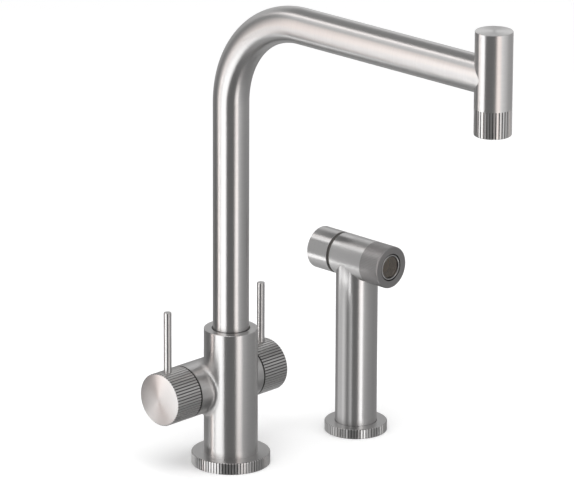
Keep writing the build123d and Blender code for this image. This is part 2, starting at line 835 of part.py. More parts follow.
def spray_collar():
    """Finely knurled collar screwed on the valve's nose, with a flat face round the spray's mouth."""
    blank = knurled(head_r, head_front, spray_face_at, fine_knurl_pitch, fine_knurl_depth, 0, edge)
    blank -= disc(valve_nose_r, head_front - OVERCUT, valve_nose_at)
    blank -= disc(spray_core_r, head_front, collar_wall_at)
    return head_frame * (blank - disc(spray_mouth_r, collar_wall_at - OVERCUT, spray_face_at + OVERCUT))


def spray_washer():
    """Rubber washer between the valve's nose and the spray core."""
    return head_frame * ring(spray_core_r, valve_room_r, valve_nose_at, washer_end)


def spray_core():
    """Dark moulded core that carries the screen and its ring."""
    core = disc(spray_core_r, washer_end, collar_wall_at)
    core += disc(screen_r, collar_wall_at, screen_at - screen_t)
    core -= disc(screen_r - pipe_wall, washer_end - OVERCUT, screen_at)
    return head_frame * core


def screen_ring():
    """Bright steel ring round the screen."""
    ring_blank = bevelled(screen_ring_r, collar_wall_at, screen_ring_at, 0, fine_edge)
    return head_frame * (ring_blank - disc(screen_r, collar_wall_at - OVERCUT, screen_ring_at + OVERCUT))


def spray_screen():
    """Dark screen that the spray comes through."""
    return head_frame * perforated(screen_r, screen_at - screen_t, screen_at, screen_hole, screen_pitch)


# ---------------------------------------------------------------- assembly

parts = {
    "base_flange": base_flange(),
    "base_seal": base_seal(),
    "inlet_block": inlet_block(),
    "block_gasket": block_gasket(),
    "mixer_body": mixer_body(),
    "stop_screw": stop_screw(),
    "spout_sleeve": spout_sleeve(),
    "spout_tail": spout_tail(),
    "spout_o_rings": spout_o_rings(),
    "spout_pipe": spout_pipe(),
    "spout_nozzle": spout_nozzle(),
    "aerator_collar": aerator_collar(),
    "aerator_screen": aerator_screen(),
    "aerator_insert": aerator_insert(),
    "aerator_washer": aerator_washer(),
    "diverter_body": diverter_body(),
    "diverter_piston": diverter_piston(),
    "diverter_seal": diverter_seal(),
    "diverter_spring": diverter_spring(),
    "spray_flange": spray_flange(),
    "spray_liner": spray_liner(),
    "spray_seal": spray_seal(),
    "spray_body": spray_body(),
    "hose_socket": hose_socket(),
    "check_valve": check_valve(),
    "riser_tube": riser_tube(),
    "valve_block": valve_block(),
    "stem_o_ring": stem_o_ring(),
    "button_guide": button_guide(),
    "spray_button": spray_button(),
    "button_stem": button_stem(),
    "valve_seal": valve_seal(),
    "button_spring": button_spring(),
    "spray_collar": spray_collar(),
    "spray_washer": spray_washer(),
    "spray_core": spray_core(),
    "screen_ring": screen_ring(),
    "spray_screen": spray_screen(),
}

valve_pieces = {
    "seat_seal": seat_seal,
    "fixed_disc": fixed_disc,
    "moving_disc": moving_disc,
    "cartridge_body": cartridge_body,
    "spindle": spindle,
    "spindle_o_ring": spindle_o_ring,
    "glide_ring": glide_ring,
    "knob": knob,
    "lever": lever,
    "grub_screw": grub_screw,
}
for side, side_name in ((-1, "left"), (1, "right")):
    for piece_name, make_piece in valve_pieces.items():
        parts[f"{side_name}_{piece_name}"] = along_bar(side) * make_piece()

os.makedirs("parts", exist_ok=True)
for node, shape in parts.items():
    export_step(shape, f"parts/{node}.step")
print(f"{len(parts)} nodes written")
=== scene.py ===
"""Looks of a side spray kitchen faucet in satin stainless steel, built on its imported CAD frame.

The column stands on the origin with the deck at z = 0, the spout points to -Y and the hand spray stands
beside it on the +X side. Sizes are named in millimetres and become metres once, when a piece is finished.
Only the studio is laid out in metres.
"""

from __future__ import annotations

import json
import logging
import math
from collections.abc import Sequence
from dataclasses import dataclass, field
from enum import Enum
from typing import Any

import bmesh
import bpy
from mathutils import Matrix, Quaternion, Vector

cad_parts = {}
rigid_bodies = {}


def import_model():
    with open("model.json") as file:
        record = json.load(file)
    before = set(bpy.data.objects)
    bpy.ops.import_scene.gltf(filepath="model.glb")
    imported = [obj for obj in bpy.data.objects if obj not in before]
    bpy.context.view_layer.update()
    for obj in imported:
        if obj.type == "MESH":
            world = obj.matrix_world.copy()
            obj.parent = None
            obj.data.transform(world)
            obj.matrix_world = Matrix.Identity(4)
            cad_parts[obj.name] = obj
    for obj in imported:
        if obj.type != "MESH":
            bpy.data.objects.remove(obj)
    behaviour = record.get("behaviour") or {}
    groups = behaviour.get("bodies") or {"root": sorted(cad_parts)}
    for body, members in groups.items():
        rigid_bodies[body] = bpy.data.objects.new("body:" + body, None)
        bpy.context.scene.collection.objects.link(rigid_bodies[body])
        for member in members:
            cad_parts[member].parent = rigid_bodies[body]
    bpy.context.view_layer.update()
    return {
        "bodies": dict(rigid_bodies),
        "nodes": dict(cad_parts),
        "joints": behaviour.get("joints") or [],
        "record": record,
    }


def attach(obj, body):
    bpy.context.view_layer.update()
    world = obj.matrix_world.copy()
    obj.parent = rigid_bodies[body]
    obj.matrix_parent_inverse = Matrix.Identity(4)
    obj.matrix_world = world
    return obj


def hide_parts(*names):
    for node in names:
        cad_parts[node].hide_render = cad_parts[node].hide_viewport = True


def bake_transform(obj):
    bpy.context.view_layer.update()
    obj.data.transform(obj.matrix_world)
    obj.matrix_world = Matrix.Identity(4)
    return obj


log = logging.getLogger("faucet")

MM = 0.001
FULL_TURN = 2 * math.pi
EDGE_FACETS = 3  # across a rounded edge
WELD = 1e-4  # millimetres within which two points are one
NEAR = 0.01  # millimetres within which two heights are one
TINY = 1e-6  # keeps a division from zero, and a point on a border on its right side
CRISP_OVER = math.radians(30.0)  # an edge that turns by more than this stays crisp


class Body(Enum):
    """The CAD bodies that pieces ride on."""

    ROOT = "root"
    LEFT_HANDLE = "left_handle"
    RIGHT_HANDLE = "right_handle"
    SPOUT = "spout"
    DIVERTER = "diverter"
    HAND_SPRAY = "hand_spray"
    SPRAY_BUTTON = "spray_button"


class Side(Enum):
    """The ends of the handle bar, by the sign of their X."""

    LEFT = -1
    RIGHT = 1


# ---------------------------------------------------------------- small helpers


def linear(colour: str) -> tuple[float, float, float, float]:
    """Turn an sRGB hex colour into the linear values that shaders take.

    Args:
        colour: Six hex digits after a hash sign.

    Returns:
        Linear red, green and blue, and an alpha of one.
    """
    values = [int(colour[i : i + 2], 16) / 255 for i in (1, 3, 5)]
    red, green, blue = (v / 12.92 if v <= 0.04045 else ((v + 0.055) / 1.055) ** 2.4 for v in values)
    return red, green, blue, 1.0


def add_node(
    tree: bpy.types.NodeTree,
    kind: str,
    settings: dict[str, Any] | None = None,
    inputs: dict[str | int, Any] | None = None,
) -> bpy.types.Node:
    """Add one node with its settings, and give its inputs a value or a link.

    Args:
        tree: The node tree that takes it.
        kind: The node's type name.
        settings: Attributes to set on the node.
        inputs: Values or output sockets by input name or number.

    Returns:
        The new node.
    """
    node = tree.nodes.new(kind)
    for key, value in (settings or {}).items():
        setattr(node, key, value)
    for key, value in (inputs or {}).items():
        if isinstance(value, bpy.types.NodeSocket):
            tree.links.new(value, node.inputs[key])
        else:
            node.inputs[key].default_value = value
    return node


def frame_at(origin: Sequence[float], along: Sequence[float], across: Sequence[float]) -> Matrix:
    """Frame of a turned piece in the faucet's millimetres.

    Args:
        origin: Where the piece's own origin lies.
        along: Where its turning axis, local Z, points.
        across: Where its local X points.

    Returns:
        The matrix from the piece's own millimetres to the faucet's.
    """
    z, x = Vector(along), Vector(across)
    turned = Matrix((x, z.cross(x), z)).transposed().to_4x4()
    return Matrix.Translation(Vector(origin)) @ turned


# ---------------------------------------------------------------- finishes


def marks_round(tree: bpy.types.NodeTree, place: Matrix) -> tuple[bpy.types.NodeSocket, bpy.types.NodeSocket]:
    """Nodes for tool marks that run round a straight axis.

    Args:
        tree: The node tree that takes them.
        place: The piece's frame in the faucet's millimetres.

    Returns:
        A point's place in that frame, in millimetres, and the way that the marks run there.
    """
    inward = place.inverted()
    coords = add_node(tree, "ShaderNodeTexCoord")
    own = add_node(
        tree,
        "ShaderNodeMapping",
        inputs={
            "Vector": coords.outputs["Object"],
            "Location": inward.translation,
            "Rotation": inward.to_euler(),
            "Scale": (1 / MM, 1 / MM, 1 / MM),
        },
    )
    offset = add_node(
        tree,
        "ShaderNodeVectorMath",
        {"operation": "SUBTRACT"},
        {0: coords.outputs["Object"], 1: place.translation * MM},
    )
    way = add_node(
        tree,
        "ShaderNodeVectorMath",
        {"operation": "CROSS_PRODUCT"},
        {0: place.to_3x3() @ Vector((0, 0, 1)), 1: offset.outputs[0]},
    )
    return own.outputs[0], way.outputs[0]


def marks_along_bend(tree: bpy.types.NodeTree) -> tuple[bpy.types.NodeSocket, bpy.types.NodeSocket]:
    """Nodes for tool marks round a bent tube, whose mesh keeps them as its own attributes.

    Args:
        tree: The node tree that takes them.

    Returns:
        A point's place in the straightened tube, in millimetres, and the way that the marks run there.
    """
    own, way = (
        add_node(tree, "ShaderNodeAttribute", {"attribute_name": name}) for name in ("straightened", "around")
    )
    return own.outputs["Vector"], way.outputs["Vector"]


# A Mix node's sockets are known by number: 0 is its share, 2 and 3 are its numbers, 4 and 5 its vectors
# and 6 and 7 its colours; of its outputs, 0 is a number, 1 a vector and 2 a colour.


@dataclass(frozen=True)
class TurnedSteel:
    """Stainless steel, ground and turned to a fine satin.

    The tool's marks run round the piece's axis as hair-fine rings. They stretch each reflection across
    themselves: along the wall of a tube, which keeps its light bands crisp from side to side, and outwards on
    a turned face, which draws a fan of light. Real marks are about 0.05 mm apart and too fine to show, so
    ring_spacing, in millimetres, is as coarse as it needs to be, and drift is about how long one mark is.
    stretch is how far a reflection is drawn out, from 0 to 1. The roots of a knurl are painted darker,
    towards
    the root colour: painted shade for the light that the deep grooves keep out.
    """

    name: str
    slot: str = "satin_steel"
    colour: str = "#CDCCCB"
    streak: str = "#C4C3C3"
    # painted shade: the colour that a knurl's roots are darkened to
    root: str = "#828180"
    roughness: float = 0.29
    roughness_swing: float = 0.02
    dressed_roughness: float = 0.46
    stretch: float = 0.7
    ring_spacing: float = 1.1
    ring_depth: float = 0.0008
    drift: float = 9.0

    def material(
        self,
        *places: Matrix,
        merge: Sequence[float] = (),
        knurled: bool = False,
        dressed: bool = False,
    ) -> bpy.types.Material:
        """Make the material for a piece.

        Args:
            places: The frames, in the faucet's millimetres, whose Z axes the marks run round. None for the
                bent tube, whose mesh keeps its own.
            merge: Where there are two frames, the radii from the first axis between which the marks turn.
            knurled: Whether the piece has a knurl, whose roots its mesh marks for their painted shade.
            dressed: Whether its mesh marks a seam that was dressed by hand, which is duller.

        Returns:
            The node material.
        """
        material = bpy.data.materials.new(self.name)
        material.use_nodes = True
        tree = material.node_tree
        shader = tree.nodes["Principled BSDF"]
        marks = [marks_round(tree, place) for place in places] or [marks_along_bend(tree)]
        own, way = marks[0]
        radius = self.radius(tree, own)
        if len(marks) > 1:
            share = add_node(
                tree,
                "ShaderNodeMapRange",
                inputs={"Value": radius, "From Min": merge[0], "From Max": merge[1]},
            ).outputs[0]
            own, way = (
                add_node(
                    tree,
                    "ShaderNodeMix",
                    {"data_type": "VECTOR"},
                    {0: share, 4: marks[0][i], 5: marks[1][i]},
                ).outputs[1]
                for i in (0, 1)
            )
            radius = self.radius(tree, own)
        axes = add_node(tree, "ShaderNodeSeparateXYZ", inputs={0: own})
        # a ring's height on the wall or its radius on a face, and a slow drift round the piece
        slow = add_node(
            tree,
            "ShaderNodeMath",
            {"operation": "MULTIPLY"},
            {0: axes.outputs[0], 1: self.ring_spacing / self.drift},
        )
        rings = add_node(
            tree, "ShaderNodeCombineXYZ", inputs={0: radius, 1: axes.outputs[2], 2: slow.outputs[0]}
        )
        grain = add_node(
            tree,
            "ShaderNodeTexNoise",
            {"noise_dimensions": "3D"},
            {"Vector": rings.outputs[0], "Scale": 1 / self.ring_spacing, "Detail": 2.0, "Roughness": 0.6},
        )
        tone = add_node(
            tree,
            "ShaderNodeMix",
            {"data_type": "RGBA"},
            {"Factor": grain.outputs["Fac"], 6: linear(self.colour), 7: linear(self.streak)},
        )
        # painted shade in the knurl's roots: the colour darkens towards root where the mesh marks a root
        if knurled:
            depth = add_node(tree, "ShaderNodeAttribute", {"attribute_name": "root"})
            tone = add_node(
                tree,
                "ShaderNodeMix",
                {"data_type": "RGBA"},
                {"Factor": depth.outputs["Fac"], 6: tone.outputs[2], 7: linear(self.root)},
            )
        # the noise seldom leaves 0.3 to 0.7
        gloss = add_node(
            tree,
            "ShaderNodeMapRange",
            inputs={
                "Value": grain.outputs["Fac"],
                "From Min": 0.3,
                "From Max": 0.7,
                "To Min": self.roughness - self.roughness_swing / 2,
                "To Max": self.roughness + self.roughness_swing / 2,
            },
        )
        if dressed:
            seam = add_node(tree, "ShaderNodeAttribute", {"attribute_name": "dressed"})
            gloss = add_node(
                tree,
                "ShaderNodeMix",
                inputs={0: seam.outputs["Fac"], 2: gloss.outputs[0], 3: self.dressed_roughness},
            )
        bumps = add_node(
            tree,
            "ShaderNodeBump",
            inputs={"Height": grain.outputs["Fac"], "Distance": self.ring_depth * MM, "Strength": 1.0},
        )
        coords = add_node(tree, "ShaderNodeTexCoord")
        across = add_node(
            tree,
            "ShaderNodeVectorMath",
            {"operation": "CROSS_PRODUCT"},
            {0: way, 1: coords.outputs["Normal"]},
        )
        across = add_node(tree, "ShaderNodeVectorMath", {"operation": "NORMALIZE"}, {0: across.outputs[0]})
        posed = add_node(
            tree,
            "ShaderNodeVectorTransform",
            {"vector_type": "VECTOR", "convert_from": "OBJECT", "convert_to": "WORLD"},
            {0: across.outputs[0]},
        )
        tree.links.new(tone.outputs[2], shader.inputs["Base Color"])
        tree.links.new(gloss.outputs[0], shader.inputs["Roughness"])
        tree.links.new(bumps.outputs[0], shader.inputs["Normal"])
        tree.links.new(posed.outputs[0], shader.inputs["Tangent"])
        shader.inputs["Metallic"].default_value = 1.0
        shader.inputs["Anisotropic"].default_value = self.stretch
        return material

    def radius(self, tree: bpy.types.NodeTree, own: bpy.types.NodeSocket) -> bpy.types.NodeSocket:
        """Nodes for a point's distance from the turning axis.

        Args:
            tree: The node tree that takes them.
            own: The point's place in the turning frame.

        Returns:
            The distance, in millimetres.
        """
        flat = add_node(tree, "ShaderNodeVectorMath", {"operation": "MULTIPLY"}, {0: own, 1: (1, 1, 0)})
        far = add_node(tree, "ShaderNodeVectorMath", {"operation": "LENGTH"}, {0: flat.outputs[0]})
        return far.outputs["Value"]


@dataclass(frozen=True)
class PlainFinish:
    """A finish with an even, fine-grained surface: moulded plastic, rubber, ceramic or unpolished metal.

    The grain is the tool's or the mould's texture: it gives a faint mottle in colour and gloss. Real grain is
    a few hundredths of a millimetre, so grain_size, in millimetres, is as coarse as it needs to be to show.
    """

    name: str
    slot: str
    colour: str
    mottle: str
    roughness: float
    grain_size: float
    metallic: float = 0.0
    grain_depth: float = 0.01
    roughness_swing: float = 0.12

    def material(self) -> bpy.types.Material:
        """Make the material.

        Returns:
            The node material.
        """
        material = bpy.data.materials.new(self.name)
        material.use_nodes = True
        tree = material.node_tree
        shader = tree.nodes["Principled BSDF"]
        coords = add_node(tree, "ShaderNodeTexCoord")
        grain = add_node(
            tree,
            "ShaderNodeTexNoise",
            {"noise_dimensions": "3D"},
            {"Vector": coords.outputs["Object"], "Scale": 1 / (self.grain_size * MM), "Detail": 2.0},
        )
        tone = add_node(
            tree,
            "ShaderNodeMix",
            {"data_type": "RGBA"},
            {"Factor": grain.outputs["Fac"], 6: linear(self.colour), 7: linear(self.mottle)},
        )
        gloss = add_node(
            tree,
            "ShaderNodeMapRange",
            inputs={
                "Value": grain.outputs["Fac"],
                "To Min": self.roughness - self.roughness_swing / 2,
                "To Max": self.roughness + self.roughness_swing / 2,
            },
        )
        marks = add_node(
            tree,
            "ShaderNodeBump",
            inputs={"Height": grain.outputs["Fac"], "Distance": self.grain_depth * MM, "Strength": 1.0},
        )
        tree.links.new(tone.outputs[2], shader.inputs["Base Color"])
        tree.links.new(gloss.outputs[0], shader.inputs["Roughness"])
        tree.links.new(marks.outputs[0], shader.inputs["Normal"])
        shader.inputs["Metallic"].default_value = self.metallic
        return material


# Tube ground as it turns: silver grey, with soft-edged light bands along its whole length.
TUBE_STEEL = TurnedSteel("satin_ground_stainless_steel")
# A face from the lathe: its rings spread each light into a fan round the centre.
FACE_STEEL = TurnedSteel("face_turned_stainless_steel", stretch=0.8)
# Rolled knurl: bright flat lands between grooves darkened by painted shade.
KNURL_STEEL = TurnedSteel("knurled_stainless_steel", slot="knurled_steel", stretch=0.6)
# Fine rolled knurl: too fine to part into lines of light; its steel is painted darker, a painted shade for
# its fine grooves, so the collar looks grey and duller than the head.
COLLAR_STEEL = TurnedSteel(
    "finely_knurled_stainless_steel",
    slot="knurled_steel",
    colour="#AAA8A8",
    streak="#9D9B9B",
    # painted shade in the knurl's roots
    root="#969493",
    roughness=0.38,
    stretch=0.3,
)
# A narrow rim turned bright: nearly white wherever it meets the light.
POLISHED_RIM = TurnedSteel("bright_turned_steel_rim", colour="#EFEEED", roughness=0.30, stretch=0.1)

# Soft moulded rubber: near black and matt, with hardly a highlight.
BLACK_RUBBER = PlainFinish(
    "moulded_black_rubber", "black_rubber", "#171615", "#1E1C1B", roughness=0.62, grain_size=0.5
)
# Dyed moulded acetal: dense and dark, with a slightly waxy highlight.
DARK_ACETAL = PlainFinish(
    "moulded_dark_acetal", "dark_acetal", "#191817", "#23211F", roughness=0.42, grain_size=0.8
)
# The dark acetal with painted light: painted grey for the neck behind the spray's head, where daylight gets
# into the groove.
DARK_ACETAL_PAINTED_LIT = PlainFinish(
    "moulded_dark_acetal_painted_lit", "dark_acetal", "#5E5B58", "#55524F", roughness=0.42, grain_size=0.8
)
# Undyed acetal: milky white, with a soft highlight.
PALE_ACETAL = PlainFinish(
    "moulded_pale_acetal", "pale_acetal", "#DAD8D1", "#CFCDC5", roughness=0.38, grain_size=0.8
)
# Brass from the lathe: warm yellow and half bright.
MACHINED_BRASS = PlainFinish(
    "machined_brass", "brass", "#C9A566", "#B8935A", roughness=0.30, grain_size=0.4, metallic=1.0
)
# Alumina lapped flat: clean white with a clear, glassy reflection.
LAPPED_CERAMIC = PlainFinish(
    "lapped_alumina_ceramic", "ceramic", "#EDEBE6", "#E2DFD8", roughness=0.12, grain_size=0.4
)
# Hard drawn wire: smooth grey, with a narrow highlight along each turn.
SPRING_STEEL = PlainFinish(
    "drawn_spring_steel", "spring_steel", "#B9B6B1", "#A6A39E", roughness=0.28, grain_size=0.3, metallic=1.0
)
# Woven wire: dull silver, lighter where the wires cross.
WIRE_CLOTH = PlainFinish(
    "woven_steel_wire_cloth",
    "screen_steel",
    "#C2B9B0",
    "#988F86",
    roughness=0.36,
    grain_size=0.5,
    metallic=1.0,
)
# Steel as it leaves the machine, on pieces inside: plain grey and half bright.
BARE_STEEL = PlainFinish(
    "machined_stainless_steel",
    "satin_steel",
    "#CAC7C3",
    "#BAB7B3",
    roughness=0.30,
    grain_size=0.4,
    metallic=1.0,
)

BY_SLOT = {
    finish.slot: finish
    for finish in (
        BLACK_RUBBER,
        DARK_ACETAL,
        PALE_ACETAL,
        MACHINED_BRASS,
        LAPPED_CERAMIC,
        SPRING_STEEL,
        WIRE_CLOTH,
        BARE_STEEL,
    )
}


# ---------------------------------------------------------------- making shapes


@dataclass(frozen=True)
class Corner:
    """A corner of a turned outline, in millimetres: its radius, its height and how far it is rounded."""

    r: float
    z: float
    ease: float = 0.0


@dataclass
class Blank:
    """A piece in the making: a bmesh in its own millimetres, local Z being the axis that it is turned on."""

    mesh: bmesh.types.BMesh = field(default_factory=bmesh.new)

    @classmethod
    def turned(cls, outline: Sequence[Corner], steps: int = 96, closed: bool = True) -> Blank:
        """Turn an outline about local Z.

        Args:
            outline: The corners in order. An open outline starts and ends on the axis.
            steps: Facets round the piece.
            closed: Whether the last corner joins the first.

        Returns:
            The closed solid of revolution.
        """
        blank = cls()
        bm = blank.mesh
        points = [bm.verts.new((corner.r, 0, corner.z)) for corner in outline]
        for first, second in zip(points, points[1:]):
            bm.edges.new((first, second))
        if closed:
            bm.edges.new((points[-1], points[0]))
        for size in sorted({corner.ease for corner in outline if corner.ease}):
            bmesh.ops.bevel(
                bm,
                geom=[point for point, corner in zip(points, outline) if corner.ease == size],
                affect="VERTICES",
                offset=size,
                offset_type="OFFSET",
                segments=EDGE_FACETS,
                profile=0.5,
                material=-1,
            )
        bmesh.ops.spin(
            bm,
            geom=bm.verts[:] + bm.edges[:],
            cent=(0, 0, 0),
            axis=(0, 0, 1),
            angle=FULL_TURN,
            steps=steps,
            use_merge=True,
        )
        blank.tidy()
        return blank

    def tidy(self) -> None:
        """Close seams and poles and point every face outwards."""
        bmesh.ops.remove_doubles(self.mesh, verts=self.mesh.verts[:], dist=WELD)
        bmesh.ops.recalc_face_normals(self.mesh, faces=self.mesh.faces[:])

    def place(self, frame: Matrix) -> Blank:
        """Move the piece into a frame, and return it."""
        bmesh.ops.transform(self.mesh, matrix=frame, verts=self.mesh.verts[:])
        return self

    def join(self, other: Blank) -> Blank:
        """Take over another blank's mesh.

        Args:
            other: The blank that is used up.

        Returns:
            This blank.
        """
        spare = bpy.data.meshes.new("spare")
        other.mesh.to_mesh(spare)
        other.mesh.free()
        self.mesh.from_mesh(spare)
        bpy.data.meshes.remove(spare)
        return self

    def carve(self, tool: Blank) -> Blank:
        """Cut a tool's shape out of the piece.

        Args:
            tool: The cutter, in the same frame, which is used up.

        Returns:
            This blank.
        """
        body, cutter = self.as_object("carved"), tool.as_object("cutter")
        cut = body.modifiers.new("cut", "BOOLEAN")
        cut.operation, cut.solver, cut.object = "DIFFERENCE", "EXACT", cutter
        self.take_from(body)
        for spare in (body, cutter):
            bpy.data.objects.remove(spare)
        return self

    def as_object(self, name: str) -> bpy.types.Object:
        """Put the mesh in an object of its own and link it to the scene.

        Args:
            name: The object's name.

        Returns:
            The object. The blank holds no mesh after that.
        """
        mesh = bpy.data.meshes.new(name)
        self.mesh.to_mesh(mesh)
        self.mesh.free()
        held = bpy.data.objects.new(name, mesh)
        bpy.context.scene.collection.objects.link(held)
        return held

    def take_from(self, held: bpy.types.Object) -> None:
        """Read the mesh back from an object, with its modifiers applied.

        Args:
            held: The object, which stays in the scene.
        """
        made = bpy.data.meshes.new_from_object(held.evaluated_get(bpy.context.evaluated_depsgraph_get()))
        self.mesh = bmesh.new()
        self.mesh.from_mesh(made)
        bpy.data.meshes.remove(made)


@dataclass(frozen=True)
class Knurl:
    """A straight knurl: V grooves along the axis between flat lands."""

    pitch: float = 2.4
    depth: float = 0.5
    land: float = 0.6
    facets: int = 6

    def count(self, radius: float) -> int:
        """Number of whole flutes round that radius."""
        return round(FULL_TURN * radius / self.pitch)

    def steps(self, radius: float) -> int:
        """Facets that a blank needs for its flutes."""
        return self.count(radius) * self.facets

    def cut(self, blank: Blank, radius: float) -> Blank:
        """Sink the grooves into the outer wall of a turned blank, and mark their roots on the mesh for their
        painted shade.

        Args:
            blank: The blank, in its own frame.
            radius: The radius over the lands.

        Returns:
            The same blank.
        """
        flute = FULL_TURN / self.count(radius)
        # the mesh's root attribute carries the painted shade in the grooves
        root = blank.mesh.verts.layers.float.new("root")
        for point in blank.mesh.verts:
            r = math.hypot(point.co.x, point.co.y)
            if r < radius - self.depth:
                continue
            whole, share = divmod(math.atan2(point.co.y, point.co.x) / flute + TINY, 1)
            # a third of the facets lies on the land, a third on each flank of the groove
            sunk = max(0.0, 1 - abs(share - 2 / 3) * 3)
            warped = share * 3 * self.land if share < 1 / 3 else 1 - (1 - share) * 1.5 * (1 - self.land)
            r = min(r, radius - sunk * self.depth)
            angle = (whole + warped) * flute
            point.co.xy = (r * math.cos(angle), r * math.sin(angle))
            # the lower half of a groove takes the full painted shade of the root
            point[root] = min(1.0, 2 * sunk) if r < radius - WELD else 0.0
        return blank


def add_piece(
    name: str,
    blank: Blank,
    material: bpy.types.Material,
    body: Body | None,
    slot: str,
    nodes: Sequence[str],
) -> bpy.types.Object:
    """Finish a piece: metres, smooth shading, material, body and the CAD nodes that it stands for.

    Args:
        name: The piece's name.
        blank: Its mesh, in the faucet's millimetres.
        material: Its material.
        body: The CAD body that it rides on, or None for a piece that rides on no body.
        slot: The record's material slot; not used.
        nodes: The CAD nodes that it replaces.

    Returns:
        The finished object, at the origin.
    """
    bmesh.ops.scale(blank.mesh, vec=(MM, MM, MM), verts=blank.mesh.verts[:])
    piece = blank.as_object(name)
    piece.data.shade_smooth()
    piece.data.set_sharp_from_angle(angle=CRISP_OVER)
    piece.data.materials.append(material)
    even = piece.modifiers.new("even_normals", "WEIGHTED_NORMAL")
    even.keep_sharp = True
    if body:
        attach(piece, body.value)
    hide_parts(*nodes)
    held = f"rides on {body.value}" if body else "gives way between two bodies"
    log.info("%s: %d faces, %s", name, len(piece.data.polygons), held)
    return piece


# ---------------------------------------------------------------- sub-assemblies


@dataclass
class DeckRing:
    """A knurled deck flange with a groove for its rubber ring underneath.

    From seat_z upwards its bore is seat_r in radius: wider than below where a column stands in it, and a
    narrower lip where a spray only leans on it.
    """

    name: str
    node: str
    x: float
    y: float
    radius: float
    height: float
    bore: float
    seat_r: float
    seat_z: float
    groove_in: float
    groove_out: float
    groove_depth: float
    top_edge: float = 0.8
    knurl: Knurl = field(default_factory=Knurl)

    def build(self) -> None:
        """Turn, knurl and place the ring."""
        outline = [
            Corner(self.bore, 0),
            Corner(self.groove_in, 0),
            Corner(self.groove_in, self.groove_depth),
            Corner(self.groove_out, self.groove_depth),
            Corner(self.groove_out, 0),
            Corner(self.radius, 0),
            Corner(self.radius, self.height, self.top_edge),
            Corner(self.seat_r, self.height),
            Corner(self.seat_r, self.seat_z),
            Corner(self.bore, self.seat_z),
        ]
        blank = Blank.turned(outline, self.knurl.steps(self.radius))
        frame = Matrix.Translation((self.x, self.y, 0))
        self.knurl.cut(blank, self.radius).place(frame)
        steel = KNURL_STEEL.material(frame, knurled=True)
        add_piece(self.name, blank, steel, Body.ROOT, KNURL_STEEL.slot, [self.node])


